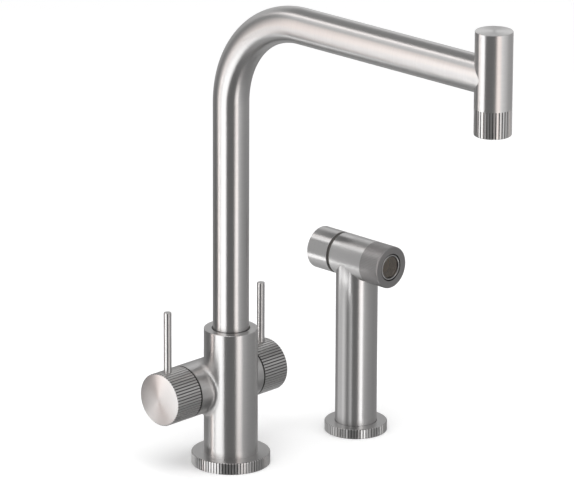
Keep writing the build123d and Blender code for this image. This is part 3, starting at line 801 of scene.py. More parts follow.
@dataclass
class FaucetBody:
    """The cast body: an upright column, the handle bar across its back and a fillet where they meet.

    Both tubes start longer by spare, which is cut off square, and their common skin has cells of skin_cell.
    The marks of the dressed seam reach seam_reach fillets from both walls. From the column's wall to merge_r
    off its axis, the tool's marks turn from the column's way into the bar's.
    """

    column_r: float = 21.0
    foot: float = 8.2
    top: float = 110.3
    bar_y: float = 17.8
    bar_z: float = 61.5
    bar_r: float = 20.85
    bar_end: float = 33.9
    fillet: float = 3.6
    edge: float = 0.4
    mouth_r: float = 15.0
    mouth_floor: float = 96.0
    socket_r: float = 14.2
    socket_floor: float = 84.0
    bore_r: float = 9.5
    bore_floor: float = 46.0
    valve_r: float = 10.6
    valve_floor: float = 12.0
    block_r: float = 17.0
    block_top: float = 25.5
    skin_cell: float = 0.9
    spare: float = 6.0
    facets: int = 128
    settle_rounds: int = 3
    probe: float = 0.001
    seam_reach: float = 1.5
    seam_gain: float = 1.7
    merge_r: float = 27.0

    def outside(self, point: Vector) -> tuple[float, float]:
        """How far a point lies outside both tubes.

        Args:
            point: Any point, in millimetres.

        Returns:
            Its distance from the column's wall and from the bar's, below zero inside.
        """
        column = math.hypot(point.x, point.y) - self.column_r
        bar = math.hypot(point.y - self.bar_y, point.z - self.bar_z) - self.bar_r
        return column, bar

    def distance(self, point: Vector) -> float:
        """Signed distance from the body's outer skin, whose fillet rounds the corner between both walls.

        Args:
            point: Any point, in millimetres.

        Returns:
            The distance in millimetres, below zero inside.
        """
        column, bar = self.outside(point)
        near = math.hypot(max(self.fillet - column, 0.0), max(self.fillet - bar, 0.0))
        return max(self.fillet, min(column, bar)) - near

    def settle(self, point: Vector) -> Vector:
        """Move a point onto the skin along the distance's slope.

        Args:
            point: A point near the skin.

        Returns:
            The point on the skin.
        """
        for _ in range(self.settle_rounds):
            here = self.distance(point)
            slope = Vector(
                [
                    (self.distance(point + way * self.probe) - here) / self.probe
                    for way in (Vector((1, 0, 0)), Vector((0, 1, 0)), Vector((0, 0, 1)))
                ]
            )
            point = point - slope * (here / max(slope.length_squared, TINY))
        return point

    def skin(self) -> Blank:
        """Make both tubes as one even skin, settled on the filleted shape and cut off square at its ends.

        Returns:
            The skin, open at its four ends, with the seam between the tubes marked on its mesh.
        """
        blank = Blank()
        middle = Matrix.Translation((0, 0, (self.top + self.foot) / 2))
        for radius, length, place in (
            (self.column_r, self.top - self.foot, middle),
            (self.bar_r, 2 * self.bar_end, along_bar(Side.RIGHT)),
        ):
            bmesh.ops.create_cone(
                blank.mesh,
                cap_ends=True,
                segments=self.facets,
                radius1=radius,
                radius2=radius,
                depth=length + 2 * self.spare,
                matrix=place,
            )
        held = blank.as_object("skin")
        even = held.modifiers.new("even_skin", "REMESH")
        even.mode, even.voxel_size = "VOXEL", self.skin_cell
        blank.take_from(held)
        bpy.data.objects.remove(held)
        dressed = blank.mesh.verts.layers.float.new("dressed")
        reach = self.seam_reach * self.fillet
        for point in blank.mesh.verts:
            point.co = self.settle(point.co)
            column, bar = self.outside(point.co)
            both = max(0.0, 1 - max(column, 0.0) / reach) * max(0.0, 1 - max(bar, 0.0) / reach)
            point[dressed] = min(1.0, self.seam_gain * both)
        cuts = (
            ((0, 0, self.foot), (0, 0, -1)),
            ((0, 0, self.top - self.edge), (0, 0, 1)),
            ((-self.bar_end, 0, 0), (-1, 0, 0)),
            ((self.bar_end, 0, 0), (1, 0, 0)),
        )
        for spot, way in cuts:
            bmesh.ops.bisect_plane(
                blank.mesh,
                geom=blank.mesh.verts[:] + blank.mesh.edges[:] + blank.mesh.faces[:],
                dist=WELD,
                plane_co=spot,
                plane_no=way,
                clear_outer=True,
            )
        return blank

    def carry_on(self, blank: Blank, frame: Matrix, start: float, rings: Sequence[Corner]) -> None:
        """Carry an open rim on through a row of rings and close the last one.

        Args:
            blank: The skin with the open rim.
            frame: Frame whose Z runs out through the rim.
            start: The rim's height in that frame.
            rings: The radius and height of each ring in turn.
        """
        inward = frame.inverted()
        loop = [
            edge
            for edge in blank.mesh.edges
            if edge.is_boundary and all(abs((inward @ v.co).z - start) < NEAR for v in edge.verts)
        ]
        for ring in rings:
            made = bmesh.ops.extrude_edge_only(blank.mesh, edges=loop)["geom"]
            loop = only(made, bmesh.types.BMEdge, rim_only=True)
            for point in {v for edge in loop for v in edge.verts}:
                own = inward @ point.co
                own.xy *= ring.r / max(own.xy.length, TINY)
                own.z = ring.z
                point.co = frame @ own
        bmesh.ops.edgeloop_fill(blank.mesh, edges=loop)

    def build(self) -> None:
        """Build the body with its mouth, sockets and valve pockets, closed all round."""
        blank = self.skin()
        upright = Matrix.Identity(4)
        self.carry_on(
            blank,
            upright,
            self.top - self.edge,
            [
                Corner(self.column_r - self.edge, self.top),
                Corner(self.mouth_r, self.top),
                Corner(self.mouth_r, self.mouth_floor),
                Corner(self.socket_r, self.mouth_floor),
                Corner(self.socket_r, self.socket_floor),
                Corner(self.bore_r, self.socket_floor),
                Corner(self.bore_r, self.bore_floor),
            ],
        )
        self.carry_on(
            blank,
            upright,
            self.foot,
            [Corner(self.block_r, self.foot), Corner(self.block_r, self.block_top)],
        )
        for side in Side:
            self.carry_on(
                blank,
                along_bar(side),
                self.bar_end,
                [Corner(self.valve_r, self.bar_end), Corner(self.valve_r, self.valve_floor)],
            )
        blank.tidy()
        merge = (self.column_r, self.merge_r)
        steel = TUBE_STEEL.material(upright, along_bar(Side.RIGHT), merge=merge, dressed=True)
        add_piece("faucet_body", blank, steel, Body.ROOT, TUBE_STEEL.slot, ["mixer_body"])


def along_bar(side: Side) -> Matrix:
    """Frame of one end of the handle bar: local Z points out along the bar and local X up."""
    return frame_at((0, FaucetBody.bar_y, FaucetBody.bar_z), (side.value, 0, 0), (0, 0, 1))


@dataclass
class Spout:
    """The swivelling spout: a bent tube, the upright nozzle at its end and the aerator ring below.

    The tube's arm runs level at arm_z, and the nozzle stands at reach from the column's axis.
    """

    tube_r: float = 14.0
    wall: float = 1.5
    foot: float = 96.0
    arm_z: float = 367.8
    bend_r: float = 75.2
    reach: float = 268.2
    nozzle_r: float = 14.1
    nozzle_top: float = 403.1
    nozzle_edge: float = 0.4
    outlet: float = 324.5
    ring_h: float = 20.5
    thread_r: float = 12.0
    thread_l: float = 10.0
    spigot_bore: float = 10.5
    lid: float = 4.0
    collar_seat: float = 333.0
    core_r: float = 11.2
    lip: float = 2.0
    mouth_r: float = 9.5
    ring_mouth_edge: float = 0.3
    ring_foot_edge: float = 0.8
    screen_pitch: float = 1.6
    screen_lift: float = 0.3
    facets: int = 96
    bend_steps: int = 48
    knurl: Knurl = field(default_factory=Knurl)

    @property
    def bend_start(self) -> float:
        """The height where the tube starts to bend."""
        return self.arm_z - self.bend_r

    @property
    def joint(self) -> float:
        """The height where the nozzle meets the aerator ring."""
        return self.outlet + self.ring_h

    @property
    def upright(self) -> Matrix:
        """Frame of the nozzle."""
        return Matrix.Translation((0, -self.reach, 0))

    def tube(self) -> None:
        """Bend the tube: straight up, a quarter bend, and out to a saddle on the nozzle."""
        blank = Blank()
        bm = blank.mesh
        bmesh.ops.create_circle(
            bm, segments=self.facets, radius=self.tube_r, matrix=Matrix.Translation((0, 0, self.foot))
        )
        made = bmesh.ops.extrude_edge_only(bm, edges=bm.edges[:])["geom"]
        rise = self.bend_start - self.foot
        bmesh.ops.translate(bm, vec=(0, 0, rise), verts=only(made, bmesh.types.BMVert))
        made = bmesh.ops.spin(
            bm,
            geom=only(made, bmesh.types.BMVert) + only(made, bmesh.types.BMEdge, rim_only=True),
            cent=(0, -self.bend_r, self.bend_start),
            axis=(1, 0, 0),
            angle=math.pi / 2,
            steps=self.bend_steps,
        )["geom_last"]
        made = bmesh.ops.extrude_edge_only(bm, edges=only(made, bmesh.types.BMEdge))["geom"]
        for point in only(made, bmesh.types.BMVert):
            point.co.y = -self.reach + math.sqrt(self.nozzle_r**2 - point.co.x**2)
        blank.tidy()
        bmesh.ops.solidify(bm, geom=bm.faces[:], thickness=self.wall)
        straightened = bm.verts.layers.float_vector.new("straightened")
        around = bm.verts.layers.float_vector.new("around")
        for point in bm.verts:
            point[straightened], point[around] = self.unbend(point.co)
        add_piece("spout_tube", blank, TUBE_STEEL.material(), Body.SPOUT, TUBE_STEEL.slot, ["spout_pipe"])

    def unbend(self, point: Vector) -> tuple[Vector, Vector]:
        """Find a point's place in the straightened tube and the way round the tube there.

        Args:
            point: A point of the bent tube's wall.

        Returns:
            Its place with the tube pulled straight along Z, and the way round the tube at that point.
        """
        bend_start = self.bend_start
        turn = math.atan2(max(point.z - bend_start, 0.0), max(point.y + self.bend_r, 0.0))
        if point.z > bend_start and point.y < -self.bend_r:
            turn = math.pi / 2
        outward = Vector((0, math.cos(turn), math.sin(turn)))
        onward = Vector((0, -math.sin(turn), math.cos(turn)))
        centre = Vector((0, -self.bend_r, bend_start)) + outward * self.bend_r
        centre += onward * (point - centre).dot(onward)
        radial = point - centre
        travel = min(point.z, bend_start) + self.bend_r * turn + max(-self.bend_r - point.y, 0.0)
        return Vector((radial.x, radial.dot(outward), travel)), onward.cross(radial)

    def nozzle(self) -> None:
        """Turn the upright nozzle with its flat lid and threaded spigot."""
        joint, ceiling = self.joint, self.nozzle_top - self.lid
        outline = [
            Corner(0, self.nozzle_top),
            Corner(self.nozzle_r, self.nozzle_top, self.nozzle_edge),
            Corner(self.nozzle_r, joint),
            Corner(self.thread_r, joint),
            Corner(self.thread_r, joint - self.thread_l),
            Corner(self.spigot_bore, joint - self.thread_l),
            Corner(self.spigot_bore, joint + self.lip),
            Corner(self.thread_r, joint + self.lip),
            Corner(self.thread_r, ceiling),
            Corner(0, ceiling),
        ]
        blank = Blank.turned(outline, self.facets, closed=False).place(self.upright)
        steel = FACE_STEEL.material(self.upright)
        add_piece("nozzle_barrel", blank, steel, Body.SPOUT, FACE_STEEL.slot, ["spout_nozzle"])

    def aerator(self) -> None:
        """Turn and knurl the aerator ring and weave the screen in its mouth."""
        outline = [
            Corner(self.mouth_r, self.outlet, self.ring_mouth_edge),
            Corner(self.nozzle_r, self.outlet, self.ring_foot_edge),
            Corner(self.nozzle_r, self.joint),
            Corner(self.thread_r, self.joint),
            Corner(self.thread_r, self.collar_seat),
            Corner(self.core_r, self.collar_seat),
            Corner(self.core_r, self.outlet + self.lip),
            Corner(self.mouth_r, self.outlet + self.lip),
        ]
        blank = Blank.turned(outline, self.knurl.steps(self.nozzle_r))
        self.knurl.cut(blank, self.nozzle_r).place(self.upright)
        steel = KNURL_STEEL.material(self.upright, knurled=True)
        add_piece("aerator_ring", blank, steel, Body.SPOUT, KNURL_STEEL.slot, ["aerator_collar"])
        cloth = WireCloth(self.core_r, self.screen_pitch).weave()
        cloth.place(Matrix.Translation((0, -self.reach, self.outlet + self.lip + self.screen_lift)))
        wire = WIRE_CLOTH.material()
        add_piece("aerator_wire_cloth", cloth, wire, Body.SPOUT, WIRE_CLOTH.slot, ["aerator_screen"])

    def build(self) -> None:
        """Build every visible piece of the spout."""
        self.tube()
        self.nozzle()
        self.aerator()


def only(geometry: Sequence[Any], kind: type, rim_only: bool = False) -> list[Any]:
    """Keep one kind of bmesh element.

    Args:
        geometry: What an operator returned.
        kind: The element type to keep.
        rim_only: Keep only edges on an open rim.

    Returns:
        The elements kept.
    """
    return [item for item in geometry if isinstance(item, kind) and (not rim_only or item.is_boundary)]


@dataclass(frozen=True)
class WireCloth:
    """Woven wire cloth cut to a disc: crossing wires that pass over and under each other.

    Real cloth of this kind has a pitch of about 0.5 mm. It is drawn coarser, so that its holes show.
    """

    radius: float
    pitch: float
    wire: float = 0.5
    wave: float = 0.1

    def weave(self) -> Blank:
        """Weave the disc.

        Returns:
            The cloth, about local Z at height zero.
        """
        blank = Blank()
        bm = blank.mesh
        cells = math.ceil(self.radius / self.pitch) * 2
        bmesh.ops.create_grid(bm, x_segments=cells, y_segments=cells, size=cells * self.pitch / 2)
        edge = self.radius - self.pitch / 2
        outside = [face for face in bm.faces if face.calc_center_median().length > edge]
        bmesh.ops.delete(bm, geom=outside, context="FACES")
        for point in bm.verts:
            column, row = (round(value / self.pitch) for value in point.co.xy)
            point.co.z = self.wave * (1 if (column + row) % 2 else -1)
        wires = set(bmesh.ops.inset_individual(bm, faces=bm.faces[:], thickness=self.wire / 2)["faces"])
        holes = [face for face in bm.faces if face not in wires]
        bmesh.ops.delete(bm, geom=holes, context="FACES_ONLY")
        bmesh.ops.solidify(bm, geom=bm.faces[:], thickness=self.wire / 2)
        blank.tidy()
        return blank


@dataclass
class Handle:
    """One valve handle: a knurled knob, the slim lever screwed into it and the dark ring behind it.

    Places along the bar are measured from the column's axis. The knob's face is domed by crown. The cutter
    for the lever's hole starts cutter_rise over the knob, so that its cone leaves a countersink. The ring
    stands ring_inset in from the knob's wall and ends ring_play short of the knob.
    """

    side: Side
    start: float = 35.45
    face: float = 61.4
    face_edge: float = 0.8
    crown: float = 1.0
    recess_r: float = 14.46
    recess_end: float = 41.5
    spindle_r: float = 4.0
    spindle_end: float = 47.4
    lever_x: float = 51.3
    lever_r: float = 3.0
    lever_top: float = 130.75
    lever_thread_r: float = 2.5
    lever_thread_l: float = 10.3
    lever_sink: float = 2.3
    lever_edge: float = 0.4
    lever_facets: int = 40
    hole_facets: int = 48
    countersink: float = 0.6
    cutter_rise: float = 2.0
    ring_w: float = 2.3
    ring_inset: float = 0.3
    ring_play: float = 0.1
    knurl: Knurl = field(default_factory=Knurl)

    @property
    def label(self) -> str:
        """Which handle it is, as the CAD nodes name it."""
        return self.side.name.lower()

    @property
    def body(self) -> Body:
        """The CAD body that turns."""
        return Body(f"{self.label}_handle")

    @property
    def upright(self) -> Matrix:
        """Frame of the lever's hole in the knob: local Z points up from the bar's axis."""
        upwards = Matrix.Rotation(math.pi / 2, 4, "Y")
        return along_bar(self.side) @ Matrix.Translation((0, 0, self.lever_x)) @ upwards

    def knob(self) -> None:
        """Turn and knurl the knob, and bore and countersink the hole for the lever."""
        bar_r = FaucetBody.bar_r
        dome = [
            Corner(bar_r * share, self.face - self.crown * share**2) for share in (0.0, 0.25, 0.5, 0.75)
        ]
        outline = dome + [
            Corner(bar_r, self.face - self.crown, self.face_edge),
            Corner(bar_r, self.start),
            Corner(self.recess_r, self.start),
            Corner(self.recess_r, self.recess_end),
            Corner(self.spindle_r, self.recess_end),
            Corner(self.spindle_r, self.spindle_end),
            Corner(0, self.spindle_end),
        ]
        frame = along_bar(self.side)
        blank = Blank.turned(outline, self.knurl.steps(bar_r), closed=False)
        self.knurl.cut(blank, bar_r).place(frame)
        seat = bar_r - self.lever_sink
        cutter_top = bar_r + self.cutter_rise
        hole = [
            Corner(0, cutter_top),
            Corner(self.lever_r + self.countersink + self.cutter_rise, cutter_top),
            Corner(self.lever_r, bar_r - self.countersink),
            Corner(self.lever_r, seat),
            Corner(self.lever_thread_r, seat),
            Corner(self.lever_thread_r, seat - self.lever_thread_l),
            Corner(0, seat - self.lever_thread_l),
        ]
        blank.carve(Blank.turned(hole, self.hole_facets, closed=False).place(self.upright))
        add_piece(
            f"{self.label}_handle_knob",
            blank,
            FACE_STEEL.material(frame, knurled=True),
            self.body,
            KNURL_STEEL.slot,
            [f"{self.label}_knob"],
        )

    def lever(self) -> None:
        """Turn the lever's rod with its threaded foot."""
        seat = FaucetBody.bar_r - self.lever_sink
        tip = self.lever_top - FaucetBody.bar_z
        outline = [
            Corner(0, tip),
            Corner(self.lever_r, tip, self.lever_edge),
            Corner(self.lever_r, seat),
            Corner(self.lever_thread_r, seat),
            Corner(self.lever_thread_r, seat - self.lever_thread_l),
            Corner(0, seat - self.lever_thread_l),
        ]
        blank = Blank.turned(outline, self.lever_facets, closed=False).place(self.upright)
        add_piece(
            f"{self.label}_handle_rod",
            blank,
            TUBE_STEEL.material(self.upright),
            self.body,
            TUBE_STEEL.slot,
            [f"{self.label}_lever"],
        )

    def glide_ring(self) -> None:
        """Turn the dark ring in the joint between bar and knob."""
        outer = FaucetBody.bar_r - self.ring_inset
        inner = outer - self.ring_w
        end = self.start - self.ring_play
        outline = [
            Corner(outer, FaucetBody.bar_end),
            Corner(outer, end),
            Corner(inner, end),
            Corner(inner, FaucetBody.bar_end),
        ]
        blank = Blank.turned(outline).place(along_bar(self.side))
        add_piece(
            f"{self.label}_joint_ring",
            blank,
            DARK_ACETAL.material(),
            Body.ROOT,
            DARK_ACETAL.slot,
            [f"{self.label}_glide_ring"],
        )

    def build(self) -> None:
        """Build every visible piece of the handle."""
        self.knob()
        self.lever()
        self.glide_ring()


@dataclass
class CoilSpring:
    """A compression spring of round wire with closed end turns.

    The seats are heights in the spring's own frame, on the body that moves and on the one that holds still.
    The pitch of a closed turn is given in radii of the wire.
    """

    name: str
    frame: Matrix
    radius: float
    wire_r: float
    turns: int
    moving: Body
    moving_seat: float
    fixed: Body
    fixed_seat: float
    steps: int = 24
    wire_facets: int = 10
    closed_pitch: float = 2.1
    clearance: float = 0.02

    def wind(self) -> Blank:
        """Wind the wire from the moving seat to the fixed one.

        Returns:
            The spring, in the faucet's millimetres.
        """
        blank = Blank()
        bm = blank.mesh
        start = self.moving_seat + self.clearance + self.wire_r
        travel = self.fixed_seat - self.moving_seat - 2 * (self.clearance + self.wire_r)
        closed = self.closed_pitch * self.wire_r
        middle = self.turns - 2
        section = Matrix.Translation((self.radius, 0, start)) @ Matrix.Rotation(math.pi / 2, 4, "X")
        bmesh.ops.create_circle(bm, segments=self.wire_facets, radius=self.wire_r, matrix=section)
        end = bm.verts[:] + bm.edges[:]
        for turns, pitch in ((1, closed), (middle, (travel - 2 * closed) / middle), (1, closed)):
            end = bmesh.ops.spin(
                bm,
                geom=end,
                cent=(0, 0, 0),
                axis=(0, 0, 1),
                dvec=(0, 0, pitch / self.steps),
                angle=turns * FULL_TURN,
                steps=turns * self.steps,
            )["geom_last"]
        bmesh.ops.holes_fill(bm, edges=only(bm.edges, bmesh.types.BMEdge, rim_only=True))
        blank.tidy()
        return blank.place(self.frame)

    def build(self) -> None:
        """Wind the spring and add it as a piece on neither body."""
        steel = SPRING_STEEL.material()
        piece = add_piece(f"{self.name}_coil", self.wind(), steel, None, SPRING_STEEL.slot, [self.name])
        start, end = (self.frame @ Vector((0, 0, seat)) * MM for seat in (self.moving_seat, self.fixed_seat))
        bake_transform(piece)
        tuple(start)
        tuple(end)


@dataclass
class HandSpray:
    """The lift-out hand spray: upright handle, cross head, push cap behind and knurled collar in front.

    Places on the head are measured along it from the handle's axis, the spray's mouth being in front. The
    handle's plain wall ends shoulder_drop below the head, and its saddle sinks saddle_sink into the head.
    """

    x: float = 122.4
    y: float = -18.3
    handle_r: float = 16.5
    handle_foot: float = 3.1
    handle_edge: float = 0.4
    handle_bore: float = 14.3
    bore_top: float = 124.75
    shoulder_drop: float = 1.0
    saddle_sink: float = 0.02
    head_z: float = 142.95
    head_r: float = 16.7
    head_bore: float = 13.7
    head_back: float = -15.0
    head_back_edge: float = 0.25
    head_front: float = 18.0
    head_front_edge: float = 0.15
    cap_back: float = -38.7
    cap_back_edge: float = 0.6
    cap_front: float = -18.0
    cap_front_edge: float = 0.25
    cap_bore: float = 15.3
    cap_wall_at: float = -35.7
    boss_r: float = 4.5
    boss_end: float = -31.0
    stem_r: float = 2.5
    guide_r: float = 15.2
    guide_end: float = -32.0
    guide_foot: float = -9.0
    guide_floor: float = -19.0
    guide_pocket_r: float = 8.5
    guide_hole_r: float = 2.6
    spring_r: float = 6.6
    spring_wire_r: float = 0.6
    spring_turns: int = 6
    face_at: float = 36.6
    face_edge: float = 0.8
    nose_r: float = 13.0
    nose_at: float = 27.0
    core_r: float = 11.9
    lip_at: float = 33.6
    mouth_r: float = 10.9
    mouth_edge: float = 0.2
    rim_r: float = 10.0
    rim_edge: float = 0.48
    rim_facets: int = 72
    screen_r: float = 9.0
    rim_at: float = 36.2
    screen_at: float = 34.9
    screen_pitch: float = 0.9
    screen_wire: float = 0.36
    screen_wave: float = 0.06
    facets: int = 112
    fine_knurl: Knurl = field(default_factory=lambda: Knurl(pitch=1.2, depth=0.08))

    @property
    def upright(self) -> Matrix:
        """Frame of the handle."""
        return Matrix.Translation((self.x, self.y, 0))

    @property
    def head(self) -> Matrix:
        """Frame of the head: local Z points out of the spray's mouth and local Y up."""
        return frame_at((self.x, self.y, self.head_z), (0, -1, 0), (1, 0, 0))

    def shell(self) -> None:
        """Turn the handle and the head, and fit the handle's top to the head like a saddle."""
        shoulder = self.head_z - self.head_r - self.shoulder_drop
        saddle_r = self.head_r - self.saddle_sink
        outline = [
            Corner(self.handle_r, self.handle_foot, self.handle_edge),
            Corner(self.handle_r, shoulder),
            Corner(self.handle_r, self.head_z),
            Corner(self.handle_bore, self.bore_top),
            Corner(self.handle_bore, self.handle_foot),
        ]
        handle = Blank.turned(outline, self.facets)
        for point in handle.mesh.verts:
            if point.co.z > self.head_z - NEAR:
                point.co.y = min(point.co.y, -self.head_back)
                point.co.z = self.head_z - math.sqrt(saddle_r**2 - point.co.x**2)
        handle.place(self.upright)
        outline = [
            Corner(self.head_r, self.head_back, self.head_back_edge),
            Corner(self.head_r, self.head_front, self.head_front_edge),
            Corner(self.head_bore, self.head_front),
            Corner(self.head_bore, self.head_back),
        ]
        handle.join(Blank.turned(outline, self.facets).place(self.head))
        steel = TUBE_STEEL.material(self.upright)
        add_piece("spray_shell", handle, steel, Body.HAND_SPRAY, TUBE_STEEL.slot, ["spray_body"])

    def push_cap(self) -> None:
        """Turn the push cap behind the head, with the boss that holds its stem."""
        outline = [
            Corner(0, self.cap_back),
            Corner(self.head_r, self.cap_back, self.cap_back_edge),
            Corner(self.head_r, self.cap_front, self.cap_front_edge),
            Corner(self.cap_bore, self.cap_front),
            Corner(self.cap_bore, self.cap_wall_at),
            Corner(self.boss_r, self.cap_wall_at),
            Corner(self.boss_r, self.boss_end),
            Corner(self.stem_r, self.boss_end),
            Corner(self.stem_r, self.cap_wall_at),
            Corner(0, self.cap_wall_at),
        ]
        blank = Blank.turned(outline, self.facets, closed=False).place(self.head)
        steel = FACE_STEEL.material(self.head)
        add_piece("spray_push_cap", blank, steel, Body.SPRAY_BUTTON, FACE_STEEL.slot, ["spray_button"])

    def guide(self) -> None:
        """Turn the dark neck that the push cap slides on."""
        outline = [
            Corner(self.guide_hole_r, self.guide_foot),
            Corner(self.head_bore, self.guide_foot),
            Corner(self.head_bore, self.head_back),
            Corner(self.guide_r, self.head_back),
            Corner(self.guide_r, self.guide_end),
            Corner(self.guide_pocket_r, self.guide_end),
            Corner(self.guide_pocket_r, self.guide_floor),
            Corner(self.guide_hole_r, self.guide_floor),
        ]
        blank = Blank.turned(outline, self.facets).place(self.head)
        # the dark neck's acetal, painted grey: painted light for the light in the groove behind the head
        acetal = DARK_ACETAL_PAINTED_LIT.material()
        add_piece("spray_guide_neck", blank, acetal, Body.HAND_SPRAY, DARK_ACETAL_PAINTED_LIT.slot, ["button_guide"])

    def collar(self) -> None:
        """Turn and finely knurl the collar in front of the head."""
        outline = [
            Corner(self.mouth_r, self.face_at, self.mouth_edge),
            Corner(self.head_r, self.face_at, self.face_edge),
            Corner(self.head_r, self.head_front),
            Corner(self.nose_r, self.head_front),
            Corner(self.nose_r, self.nose_at),
            Corner(self.core_r, self.nose_at),
            Corner(self.core_r, self.lip_at),
            Corner(self.mouth_r, self.lip_at),
        ]
        blank = Blank.turned(outline, self.fine_knurl.steps(self.head_r))
        self.fine_knurl.cut(blank, self.head_r).place(self.head)
        steel = COLLAR_STEEL.material(self.head, knurled=True)
        add_piece("spray_grip_collar", blank, steel, Body.HAND_SPRAY, COLLAR_STEEL.slot, ["spray_collar"])

    def mouth(self) -> None:
        """Turn the bright rim and weave the screen inside it."""
        outline = [
            Corner(self.screen_r, self.lip_at),
            Corner(self.rim_r, self.lip_at),
            Corner(self.rim_r, self.rim_at, self.rim_edge),
            Corner(self.screen_r, self.rim_at, self.rim_edge),
        ]
        blank = Blank.turned(outline, self.rim_facets).place(self.head)
        steel = POLISHED_RIM.material(self.head)
        add_piece("spray_rim", blank, steel, Body.HAND_SPRAY, POLISHED_RIM.slot, ["screen_ring"])
        cloth = WireCloth(self.screen_r, self.screen_pitch, self.screen_wire, self.screen_wave).weave()
        cloth.place(self.head @ Matrix.Translation((0, 0, self.screen_at)))
        wire = WIRE_CLOTH.material()
        add_piece("spray_wire_cloth", cloth, wire, Body.HAND_SPRAY, WIRE_CLOTH.slot, ["spray_screen"])

    def spring(self) -> None:
        """Wind the spring that pushes the cap back."""
        CoilSpring(
            name="button_spring",
            frame=self.head,
            radius=self.spring_r,
            wire_r=self.spring_wire_r,
            turns=self.spring_turns,
            moving=Body.SPRAY_BUTTON,
            moving_seat=self.cap_wall_at,
            fixed=Body.HAND_SPRAY,
            fixed_seat=self.guide_floor,
        ).build()

    def build(self) -> None:
        """Build every piece of the hand spray that shows, and the spring in its cap."""
        self.shell()
        self.push_cap()
        self.spring()
        self.guide()
        self.collar()
        self.mouth()


# ---------------------------------------------------------------- studio


class Post(Enum):
    """Where the edges of the upright cards stand in plan, in metres, clockwise from the front left."""

    LEFT_FRONT = (-0.558, -0.139)
    SOFTBOX_TOP_END = (-0.520, 0.150)
    SOFTBOX_END = (-0.509, 0.232)
    GAP_END = (-0.500, 0.300)
    EDGE_END = (-0.494, 0.345)
    WARM_START = (-0.491, 0.368)
    WARM_LOW_END = (-0.479, 0.450)
    FADE_LOW = (-0.479, 0.452)
    WARM_END = (-0.478, 0.462)
    FADE = (-0.478, 0.470)
    FILL_END = (-0.474, 0.490)
    BACK_LEFT = (-0.360, 0.552)
    BACK = (-0.050, 0.740)
    BACK_RIGHT = (0.600, 0.500)
    RIGHT_BACK = (0.660, 0.100)
    RIGHT_FRONT = (0.660, -0.300)
    FRONT_RIGHT = (0.350, -0.560)
    FRONT = (0.100, -0.640)
    STRIP_START = (-0.022, -0.643)
    STRIP_TURN = (-0.120, -0.556)
    STRIP_DIM = (-0.166, -0.515)
    STRIP_END = (-0.205, -0.480)


@dataclass(frozen=True)
class Card:
    """A reflector or flag round the object, seen only as a reflection in the steel.

    It is a rectangle from corner, with the sides along and across, in metres. Its glow, where 1 is white,
    turns evenly into far_glow on the way along. A one_sided card is seen only from the side that the cross
    product of along and across points to, so that it hides nothing from the other side.
    """

    name: str
    corner: tuple[float, float, float]
    along: tuple[float, float, float]
    across: tuple[float, float, float]
    glow: float
    far_glow: float
    tint: str = "#FFFFFF"
    one_sided: bool = False

    @classmethod
    def upright(
        cls,
        name: str,
        start: tuple[float, float],
        end: tuple[float, float],
        heights: tuple[float, float],
        glow: float,
        far_glow: float | None = None,
        tint: str = "#FFFFFF",
        one_sided: bool = False,
    ) -> Card:
        """Stand a card on edge.

        Args:
            name: The card's name.
            start: Where it starts in plan, in metres.
            end: Where it ends.
            heights: Its lower and upper edge.
            glow: How bright it is at its start.
            far_glow: How bright it is at its end; the same unless given.
            tint: Its colour.
            one_sided: Whether it is seen only from the right of the way from start to end.

        Returns:
            The card.
        """
        return cls(
            name,
            corner=(start[0], start[1], heights[0]),
            along=(end[0] - start[0], end[1] - start[1], 0.0),
            across=(0.0, 0.0, heights[1] - heights[0]),
            glow=glow,
            far_glow=glow if far_glow is None else far_glow,
            tint=tint,
            one_sided=one_sided,
        )

    def hang(self) -> bpy.types.Object:
        """Hang the card.

        Returns:
            The card's object, which only glossy rays see.
        """
        card = Blank()
        half = 0.5
        bmesh.ops.create_grid(card.mesh, x_segments=1, y_segments=1, size=half)
        for point in card.mesh.verts:
            shift = Vector(self.along) * (point.co.x + half) + Vector(self.across) * (point.co.y + half)
            point.co = Vector(self.corner) + shift
        held = card.as_object(self.name)
        held.data.materials.append(self.material())
        held.visible_camera = held.visible_diffuse = held.visible_transmission = False
        held.visible_volume_scatter = held.visible_shadow = False
        return held

    def material(self) -> bpy.types.Material:
        """Make the glow that runs from the card's near end to its far end.

        Returns:
            The node material.
        """
        material = bpy.data.materials.new(self.name)
        material.use_nodes = True
        tree = material.node_tree
        tree.nodes.clear()
        slope = Vector(self.along) / Vector(self.along).length_squared
        coords = add_node(tree, "ShaderNodeTexCoord")
        share = add_node(
            tree,
            "ShaderNodeVectorMath",
            {"operation": "DOT_PRODUCT"},
            {0: coords.outputs["Object"], 1: slope},
        )
        start = slope.dot(Vector(self.corner))
        glow = add_node(
            tree,
            "ShaderNodeMapRange",
            inputs={
                "Value": share.outputs["Value"],
                "From Min": start,
                "From Max": start + 1,
                "To Min": self.glow,
                "To Max": self.far_glow,
            },
        )
        light = add_node(
            tree, "ShaderNodeEmission", inputs={"Color": linear(self.tint), "Strength": glow.outputs[0]}
        )
        if self.one_sided:
            side = add_node(tree, "ShaderNodeNewGeometry")
            clear = add_node(tree, "ShaderNodeBsdfTransparent")
            light = add_node(
                tree,
                "ShaderNodeMixShader",
                inputs={0: side.outputs["Backfacing"], 1: light.outputs[0], 2: clear.outputs[0]},
            )
        add_node(tree, "ShaderNodeOutputMaterial", inputs={"Surface": light.outputs[0]})
        return material


